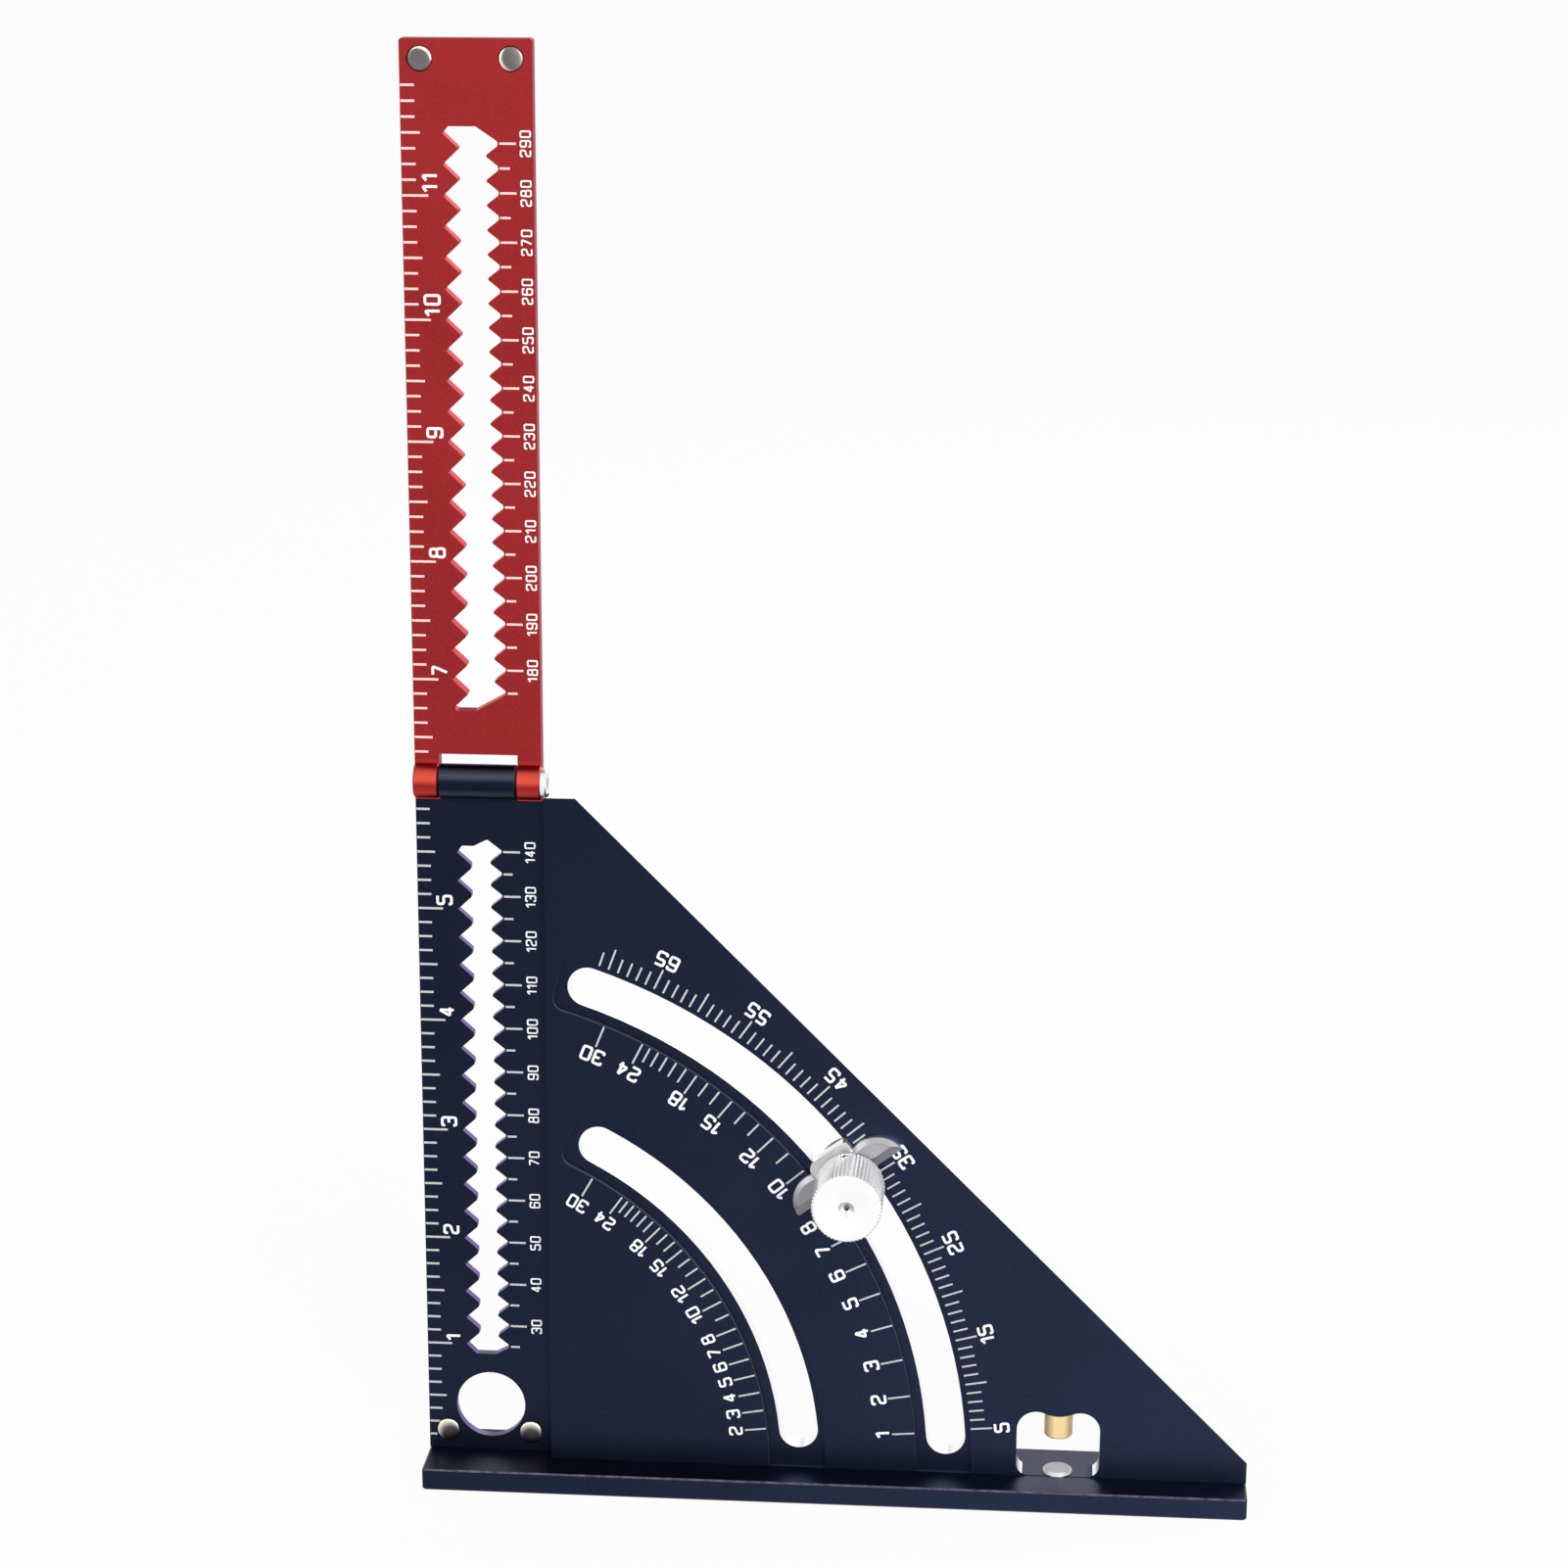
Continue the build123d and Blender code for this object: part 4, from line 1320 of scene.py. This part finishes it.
@dataclass
class Scales:
    """All seven marked scales of the square and its blade.

    A common rafter's run is 12 inches, and a hip or valley rafter's is 17. The degree radii are
    those of the ticks' inner ends, the short ticks' outer ends and the long ones'. The rafter
    radii are those of the ticks' outer ends, the long ticks' inner ends and the short ones'.
    """

    strip_numbers: Lettering = Lettering(height=2.4, width=1.5, stroke=0.33, gap=0.36)
    blade_numbers: Lettering = Lettering(height=2.35, width=1.5, stroke=0.33, gap=0.42)
    arc_numbers: Lettering = Lettering(height=3.5, width=2.4, stroke=0.56, gap=0.42)
    hip_numbers: Lettering = Lettering(height=3.1, width=2.1, stroke=0.48, gap=0.38)
    degree_radii: Radii = (122.7, 125.95, 127.45)
    degree_number_radius: float = 127.85
    common_run: float = 12.0
    common_radii: Radii = (110.1, 105.15, 106.5)
    common_number_radius: float = 101.3
    hip_run: float = 17.0
    hip_radii: Radii = (77.1, 72.35, 73.75)
    hip_number_radius: float = 68.75

    def straight(self, body_inks: Inks, blade_inks: Inks) -> None:
        """Marks the four straight scales.

        Args:
            body_inks: The finishes of the marks on the square.
            blade_inks: The finishes of the marks on the blade.
        """
        InchScale("strip_inch", "square", 1, 47, clear_of="body_magnet_left").build(body_inks)
        InchScale("blade_inch", "blade", 51, 95).build(blade_inks)
        MetricScale(
            "strip_metric",
            "square",
            first=25,
            last=140,
            start=18.85,
            short_end=20.85,
            long_end=22.5,
            number_base=25.9,
            lettering=self.strip_numbers,
        ).build(body_inks)
        MetricScale(
            "blade_metric",
            "blade",
            first=175,
            last=290,
            start=20.4,
            short_end=22.5,
            long_end=23.8,
            number_base=26.95,
            lettering=self.blade_numbers,
        ).build(blade_inks)

    def arcs(self, inks: Inks) -> None:
        """Marks the three scales on arcs about the corner.

        Args:
            inks: The finishes of the marks on the square.
        """
        degrees = degree_ticks(5, 71, self.degree_radii)
        ArcScale("degree", degrees, self.degree_number_radius, self.arc_numbers).build(inks)
        common = rafter_ticks(self.common_run, 1, self.common_radii)
        ArcScale("common_rafter", common, self.common_number_radius, self.arc_numbers).build(inks)
        hip = rafter_ticks(self.hip_run, 2, self.hip_radii)
        ArcScale("hip_valley", hip, self.hip_number_radius, self.hip_numbers).build(inks)


# --- turned pieces ----------------------------------------------------------------
@dataclass(frozen=True)
class Axle:
    """Axis that a turned piece is built about, with two directions square to it."""

    foot: Vector
    along: Vector
    right: Vector

    def point(self, radius: float, height: float, angle: float) -> Vector:
        """Point of the frame.

        Args:
            radius: Distance from the axis, in metres.
            height: Distance along it, in metres.
            angle: Angle from the right direction, in radians.

        Returns:
            The point.
        """
        up = self.along.cross(self.right)
        spoke = self.right * math.cos(angle) + up * math.sin(angle)
        return self.foot + self.along * height + spoke * radius


def ring_faces(rings: list[list[int]]) -> list[Face]:
    """Faces between neighbouring rings of a turned piece.

    Args:
        rings: Each ring's point numbers, all the same where the ring is one point on the axis.

    Returns:
        The faces.
    """
    faces: list[Face] = []
    for low, high in zip(rings, rings[1:]):
        for step in range(len(low)):
            after = (step + 1) % len(low)
            corners = (low[step], low[after], high[after], high[step])
            faces.append(tuple(dict.fromkeys(corners)))
    return faces


@dataclass
class ClampKnob:
    """Knurled knob with a countersunk centre mark and a spot-faced side hole."""

    radius: float = 7.65
    ridges: int = 56
    ridge_depth: float = 0.26
    ridge_form: tuple[float, ...] = (1.0, 0.5, 0.0, 0.5)
    rim: float = 0.5
    bore: float = 2.02
    bore_depth: float = 9.5
    mark: float = 1.65
    mark_depth: float = 1.05
    mark_break: float = 0.12
    mark_break_depth: float = 0.06
    pilot: float = 0.6
    pilot_depth: float = 2.0
    hole: float = 0.92
    hole_height: float = 1.5
    spot: float = 1.25
    spot_depth: float = 0.38
    cutter_sides: int = 32
    cutter_overrun: float = 1.0
    smooth_below: float = 32.0

    def axle(self) -> Axle:
        """The knob's axis, from its base towards its face, with its side hole to the right.

        Returns:
            The axis.
        """
        low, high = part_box("thumb_knob")
        foot = Vector(((low.x + high.x) / 2, high.y, (low.z + high.z) / 2))
        screw_low, screw_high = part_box("knob_grub_screw")
        outwards = (screw_low + screw_high) / 2 - foot
        outwards.y = 0.0
        return Axle(foot, Vector((0, -1, 0)), outwards.normalized())

    def profile(self, height: float) -> list[tuple[float, float, bool]]:
        """Half section from the blind bore's end round to the centre mark.

        Args:
            height: The knob's height, in millimetres.

        Returns:
            Radius, height and whether the ring is knurled.
        """
        return [
            (0.0, self.bore_depth, False),
            (self.bore, self.bore_depth, False),
            (self.bore, 0.0, False),
            (self.radius - self.rim, 0.0, False),
            (self.radius, self.rim, True),
            (self.radius, height - self.rim, True),
            (self.radius - self.rim, height, False),
            (self.mark + self.mark_break, height, False),
            (self.mark, height - self.mark_break_depth, False),
            (self.pilot, height - self.mark_depth, False),
            (self.pilot, height - self.pilot_depth, False),
            (0.0, height - self.pilot_depth, False),
        ]

    def mesh(self, axle: Axle, height: float, finish: bpy.types.Material) -> bpy.types.Object:
        """The turned and knurled blank.

        Args:
            axle: The knob's axis.
            height: The knob's height, in millimetres.
            finish: Its material.

        Returns:
            The blank.
        """
        form = self.ridge_form
        steps = self.ridges * len(form)
        vertices: list[Vector] = []
        rings: list[list[int]] = []
        for reach, level, knurled in self.profile(height):
            if reach == 0.0:
                rings.append([len(vertices)] * steps)
                vertices.append(axle.point(0.0, level * MM, 0.0))
                continue
            rings.append(list(range(len(vertices), len(vertices) + steps)))
            for step in range(steps):
                cut = self.ridge_depth * form[step % len(form)] if knurled else 0.0
                vertices.append(axle.point((reach - cut) * MM, level * MM, 2 * math.pi * step / steps))
        return solid("knurled_knob", vertices, ring_faces(rings), finish, self.smooth_below)

    def drill(
        self, knob: bpy.types.Object, axle: Axle, radius: float, start: float, finish: bpy.types.Material
    ) -> None:
        """Cuts a round hole from the knob's side towards its axis.

        Args:
            knob: The knob.
            axle: The knob's axis.
            radius: The hole's radius, in millimetres.
            start: Where the hole ends inside, from the knob's axis.
            finish: The finish of the hole's wall.
        """
        sides = self.cutter_sides
        foot = axle.foot + axle.along * self.hole_height * MM
        line = Axle(foot, axle.right, axle.along)
        turns = [2 * math.pi * step / sides for step in range(sides)]
        vertices = [line.point(radius * MM, start * MM, turn) for turn in turns]
        end = self.radius + self.cutter_overrun
        vertices += [line.point(radius * MM, end * MM, turn) for turn in turns]
        faces: list[Face] = [tuple(range(sides)), tuple(range(sides, 2 * sides))]
        faces += ring_faces([list(faces[0]), list(faces[1])])
        rod = solid("side_hole_cutter", vertices, faces, finish)
        cut = knob.modifiers.new("side_hole", "BOOLEAN")
        cut.operation = "DIFFERENCE"
        cut.solver = "EXACT"
        cut.object = rod
        bpy.context.view_layer.update()
        ready = knob.evaluated_get(bpy.context.evaluated_depsgraph_get())
        knob.data = bpy.data.meshes.new_from_object(ready)
        knob.modifiers.clear()
        bpy.data.objects.remove(rod)

    def build(self, finish: bpy.types.Material) -> None:
        """Makes the knob in place of the plain one.

        Args:
            finish: The turned finish.
        """
        low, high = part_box("thumb_knob")
        axle = self.axle()
        knob = self.mesh(axle, (high.y - low.y) / MM, finish)
        self.drill(knob, axle, self.hole, self.bore, finish)
        self.drill(knob, axle, self.spot, self.radius - self.spot_depth, finish)
        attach(knob, "knob")
        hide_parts("thumb_knob")
        LOG.info("knurled_knob: %d ridges, %d faces", self.ridges, len(knob.data.polygons))


@dataclass
class DiscMagnets:
    """The four magnets, each with an eased rim and a slightly crowned face.

    The crown's and the rim's stops are a share of the radius and a drop in millimetres.
    """

    bodies: dict[str, tuple[str, MagnetPlate]]
    steps: int = 64
    crown: tuple[Flat, ...] = ((0.0, 0.0), (0.35, 0.008), (0.62, 0.03), (0.8, 0.075))
    rim: tuple[Flat, ...] = ((0.89, 0.13), (0.955, 0.22), (0.99, 0.34), (1.0, 0.46))
    smooth_below: float = 40.0

    def build_one(self, node: str, body: str, finish: bpy.types.Material) -> None:
        """Makes one magnet.

        Args:
            node: The plain disc it stands for.
            body: The body it rides on.
            finish: The plated finish.
        """
        low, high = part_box(node)
        radius, depth = (high.x - low.x) / 2, high.y - low.y
        foot = Vector(((low.x + high.x) / 2, low.y, (low.z + high.z) / 2))
        axle = Axle(foot, Vector((0, 1, 0)), Vector((1, 0, 0)))
        section = [(share * radius, drop * MM) for share, drop in self.crown + self.rim]
        section += [(radius, depth), (0.0, depth)]
        vertices: list[Vector] = []
        rings: list[list[int]] = []
        for reach, level in section:
            count = 1 if reach == 0.0 else self.steps
            rings.append([len(vertices) + step % count for step in range(self.steps)])
            turns = [2 * math.pi * step / self.steps for step in range(count)]
            vertices += [axle.point(reach, level, turn) for turn in turns]
        made = solid(f"eased_{node}", vertices, ring_faces(rings), finish, self.smooth_below)
        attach(made, body)
        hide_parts(node)
        LOG.info("%s: %d faces", made.name, len(made.data.polygons))

    def build(self) -> None:
        """Makes all four, each with its own painted highlight and shade."""
        for node, (body, plate) in self.bodies.items():
            self.build_one(node, body, plate.material())


# --- carried-over pieces ----------------------------------------------------------
@dataclass
class MachinedPieces:
    """The pieces whose machined shape is shown as it is, each with its finish."""

    finishes: dict[str, bpy.types.Material]

    def dress(self) -> None:
        """Gives each piece its finish."""
        for node, finish in self.finishes.items():
            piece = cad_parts[node]
            if not piece.material_slots:
                piece.data.materials.append(finish)
            for slot in piece.material_slots:
                slot.material = finish
            LOG.info("%s: %s", node, finish.name)


# --- studio -----------------------------------------------------------------------
@dataclass(frozen=True)
class Softbox:
    """Rectangular lamp aimed at a point."""

    name: str
    place: Place
    aim: Place
    size: Flat
    watts: float

    def build(self) -> None:
        """Hangs the lamp."""
        lamp = bpy.data.lights.new(self.name, "AREA")
        lamp.shape = "RECTANGLE"
        lamp.size, lamp.size_y = self.size
        lamp.energy = self.watts
        made = bpy.data.objects.new(self.name, lamp)
        made.location = self.place
        beam = Vector(self.aim) - Vector(self.place)
        made.rotation_euler = beam.to_track_quat("-Z", "Y").to_euler()
        bpy.context.scene.collection.objects.link(made)


@dataclass
class Studio:
    """Pale floor, even surroundings, soft lamps and the camera. Lengths are in metres."""

    ambient: float = 0.55
    ambient_colour: Colour = (0.97, 0.98, 1.0)
    floor_colour: Colour = (0.9, 0.9, 0.905)
    floor_glow: float = 0.93
    floor_radius: float = 9.0
    floor_sides: int = 96
    floor_level: float = -0.00002
    camera_place: Place = (0.04679, -0.82696, 0.37288)
    camera_turn: Place = (72.36222, 0.03051, 5.28953)
    lens: float = 92.05
    sensor: float = 36.0
    shift: Flat = (0.0529, 0.1495)
    clip: Flat = (0.01, 50.0)
    lamps: tuple[Softbox, ...] = (
        Softbox("key_softbox", (0.9, -1.5, 0.55), (0.0, 0.0, 0.12), (1.2, 1.0), 26.0),
        Softbox("fill_softbox", (-1.3, -1.1, 0.9), (0.0, 0.0, 0.15), (1.0, 1.0), 12.0),
        Softbox("back_softbox", (0.4, 1.3, 1.1), (0.0, 0.0, 0.12), (1.2, 1.0), 5.0),
    )

    def seen(self, g: Graph) -> bpy.types.NodeSocket:
        """Whether a ray comes from the camera, a gloss or a transmission.

        Args:
            g: The graph to add to.

        Returns:
            1 or 0 as a socket.
        """
        path = g.add("ShaderNodeLightPath")
        both = g.math("MAXIMUM", path.outputs["Is Camera Ray"], path.outputs["Is Glossy Ray"])
        return g.math("MAXIMUM", both, path.outputs["Is Transmission Ray"])

    def surroundings(self) -> None:
        """Even light all round, plain white where it is seen."""
        world = bpy.data.worlds.new("pale_room")
        world.use_nodes = True
        bpy.context.scene.world = world
        g = Graph(world.node_tree)
        light = g.add("ShaderNodeBackground", None, Color=shade(self.ambient_colour), Strength=self.ambient)
        white = g.add("ShaderNodeBackground", None, Color=WHITE, Strength=1.0)
        both = g.add("ShaderNodeMixShader")
        g.feed(both.inputs[0], self.seen(g))
        g.feed(both.inputs[1], light.outputs[0])
        g.feed(both.inputs[2], white.outputs[0])
        g.add("ShaderNodeOutputWorld", None, Surface=both.outputs[0])

    def floor(self) -> None:
        """Pale floor that keeps the square's shadow."""
        made, g = blank("pale_floor")
        matt = g.add("ShaderNodeBsdfDiffuse", None, Color=shade(self.floor_colour))
        glow = g.add("ShaderNodeEmission", None, Color=WHITE, Strength=1.0)
        both = g.add("ShaderNodeMixShader")
        g.feed(both.inputs[0], g.math("MULTIPLY", self.seen(g), self.floor_glow))
        g.feed(both.inputs[1], matt.outputs[0])
        g.feed(both.inputs[2], glow.outputs[0])
        g.add("ShaderNodeOutputMaterial", None, Surface=both.outputs[0])
        turns = [2 * math.pi * step / self.floor_sides for step in range(self.floor_sides)]
        vertices = [Vector((math.cos(turn), math.sin(turn), 0.0)) * self.floor_radius for turn in turns]
        plane = solid("studio_floor", vertices, [tuple(range(self.floor_sides))], made)
        plane.location.z = self.floor_level

    def camera(self) -> None:
        """The camera at its viewing angle."""
        eye = bpy.data.cameras.new("camera")
        eye.sensor_fit = "AUTO"
        eye.sensor_width = self.sensor
        eye.lens = self.lens
        eye.shift_x, eye.shift_y = self.shift
        eye.clip_start, eye.clip_end = self.clip
        made = bpy.data.objects.new("camera", eye)
        made.location = self.camera_place
        made.rotation_euler = [math.radians(angle) for angle in self.camera_turn]
        bpy.context.scene.collection.objects.link(made)
        bpy.context.scene.camera = made

    def build(self) -> None:
        """Sets the studio up."""
        bpy.context.scene.view_settings.view_transform = "Standard"
        self.surroundings()
        self.floor()
        for lamp in self.lamps:
            lamp.build()
        self.camera()
        LOG.info("studio: %d lamps", len(self.lamps))


def centre(node: str) -> Vector:
    """Middle of a node's box."""
    low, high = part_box(node)
    return (low + high) / 2


def worn_magnets() -> dict[str, tuple[str, MagnetPlate]]:
    """The magnets' bodies and their plating, each with its own painted highlight and shade.

    Returns:
        For each node, its body and its finish.
    """
    plain = MagnetPlate("nickel", (0.165, 0.145, 0.148), Grain.PLATED, 0.34, variation=0.25)
    # Deeper painted shade on the square's two magnets.
    dark = replace(plain, dull=(0.05, 0.045, 0.055))
    painted_light = {
        "body_magnet_left": ("square", replace(dark, lean=(-0.55, 0.84), crescent=0.75)),
        "body_magnet_right": ("square", replace(dark, lean=(-0.1, 0.99), crescent=0.7)),
        "blade_magnet_left": (
            "blade",
            replace(plain, lean=(0.45, 0.89), dull=(0.17, 0.15, 0.15), crescent=0.3),
        ),
        "blade_magnet_right": (
            "blade",
            replace(plain, lean=(-0.8, -0.3), dull=(0.24, 0.22, 0.2), crescent=0.42),
        ),
    }
    return {
        node: (body, replace(plate, name=f"nickel_of_{node}", centre=tuple(centre(node))))
        for node, (body, plate) in painted_light.items()
    }


NAVY = (0.0136, 0.0188, 0.0395)
GREY_GRAZE = (0.92, 0.89, 0.86)

# Painted sheen of the hinge's turned barrels, bands of painted highlight and shade, from where they face
# down to where they face up.
RED_BARREL_SHEEN: Stops = (
    (0.06, (0.3, 0.022, 0.02)),
    (0.2, (0.46, 0.046, 0.036)),
    (0.38, (0.35, 0.025, 0.023)),
    (0.46, (0.3, 0.02, 0.02)),
    (0.6, (0.57, 0.064, 0.042)),
    (0.82, (0.62, 0.076, 0.048)),
    (0.97, (0.28, 0.02, 0.019)),
)
NAVY_BARREL_SHEEN: Stops = (
    (0.06, (0.012, 0.017, 0.034)),
    (0.2, (0.038, 0.05, 0.07)),
    (0.36, (0.0075, 0.0115, 0.027)),
    (0.6, (0.0075, 0.0115, 0.027)),
    (0.76, (0.055, 0.066, 0.088)),
    (0.86, (0.036, 0.045, 0.062)),
    (0.97, (0.008, 0.011, 0.026)),
)


@dataclass
class Finishes:
    """Every finish of the square, made once and kept by name."""

    made: dict[str, bpy.types.Material] = field(default_factory=dict)

    def dyed(self) -> list[Anodised]:
        """The dyed finishes of the body, the clamp's disc and the blade.

        Returns:
            The finishes.
        """
        body = BodyAnodised(
            "navy_anodised",
            NAVY,
            upper_wall=(0.17, 0.12, 0.31),
            level_wall=(0.11, 0.11, 0.14),
            under_wall=(0.03, 0.025, 0.08),
            graze=GREY_GRAZE,
            wall_graze=(0.75, 0.7, 0.85),
            barrel=NAVY_BARREL_SHEEN,
        )
        disc = Anodised(
            "disc_navy_anodised",
            NAVY,
            upper_wall=(0.03, 0.032, 0.07),
            level_wall=(0.03, 0.032, 0.07),
            under_wall=(0.01, 0.012, 0.03),
            graze=GREY_GRAZE,
            wall_graze=GREY_GRAZE,
        )
        blade = Anodised(
            "red_anodised",
            (0.27, 0.0205, 0.0225),
            upper_wall=(0.62, 0.11, 0.115),
            level_wall=(0.16, 0.006, 0.012),
            under_wall=(0.1, 0.006, 0.03),
            graze=(0.8, 0.4, 0.4),
            wall_graze=(0.85, 0.48, 0.52),
            barrel=RED_BARREL_SHEEN,
            roughness=0.36,
        )
        return [body, disc, blade]

    def bare(self) -> list[BrightMetal]:
        """The bare metals' finishes; the two pieces in the window are turned about one upright axis.

        Returns:
            The finishes.
        """
        knob, window = tuple(centre("thumb_knob")), centre("steel_button")
        window.z = 0.0
        turned = KnobMetal(
            "turned_aluminium",
            (0.97, 0.97, 0.975),
            Grain.TURNED_ABOUT_Y,
            0.28,
            centre=knob,
            variation=0.04,
            relief=0.06,
        )
        brass = BrightMetal(
            "turned_brass",
            (0.78, 0.6, 0.31),
            Grain.TURNED_ABOUT_Z,
            0.5,
            centre=tuple(window),
            variation=0.12,
            relief=0.2,
            metallic=0.55,
        )
        button = ButtonSteel("button_steel", (0.25, 0.25, 0.26), Grain.BRUSHED, 0.36, tuple(window))
        return [
            turned,
            BevelledMetal("satin_stop", (0.29, 0.29, 0.31), Grain.BRUSHED, 0.36),
            BrightMetal("turned_steel", (0.5, 0.5, 0.52), Grain.BRUSHED, 0.3),
            BrightMetal("screw_steel", (0.9, 0.9, 0.92), Grain.BRUSHED, 0.3),
            button,
            brass,
        ]

    def marks(self) -> list[MarkedWhite]:
        """The marks' finishes, for the square and for the blade.

        Returns:
            The finishes.
        """
        return [
            MarkedWhite("scale_white", (0.84, 0.85, 0.86)),
            MarkedWhite("tick_grey", (0.44, 0.45, 0.46)),
            MarkedWhite("blade_white", (0.86, 0.78, 0.77)),
            MarkedWhite("blade_tick_pink", (0.84, 0.52, 0.5)),
        ]

    def build(self) -> None:
        """Makes the dyed finishes, the bare metals and the marks."""
        for look in (*self.dyed(), *self.bare(), *self.marks()):
            self.made[look.name] = look.material()
        LOG.info("finishes: %d", len(self.made))


def main() -> None:
    """Builds the studio, the finishes and every piece, in order."""
    logging.basicConfig(level=logging.INFO, format="%(message)s")
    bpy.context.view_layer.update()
    Studio().build()
    finishes = Finishes()
    finishes.build()
    look = finishes.made
    MachinedPieces(
        {
            "square_body": look["navy_anodised"],
            "fold_blade": look["red_anodised"],
            "clamp_disc": look["disc_navy_anodised"],
            "angle_stop": look["satin_stop"],
            "hinge_screw": look["screw_steel"],
            "clamp_stud": look["turned_steel"],
            "knob_grub_screw": look["turned_steel"],
            "steel_button": look["button_steel"],
            "brass_stud": look["turned_brass"],
        }
    ).dress()
    ClampKnob().build(look["turned_aluminium"])
    DiscMagnets(worn_magnets()).build()
    body_inks = Inks(look["tick_grey"], look["scale_white"])
    scales = Scales()
    scales.straight(body_inks, Inks(look["blade_tick_pink"], look["blade_white"]))
    scales.arcs(body_inks)


if __name__ == "__main__":
    main()
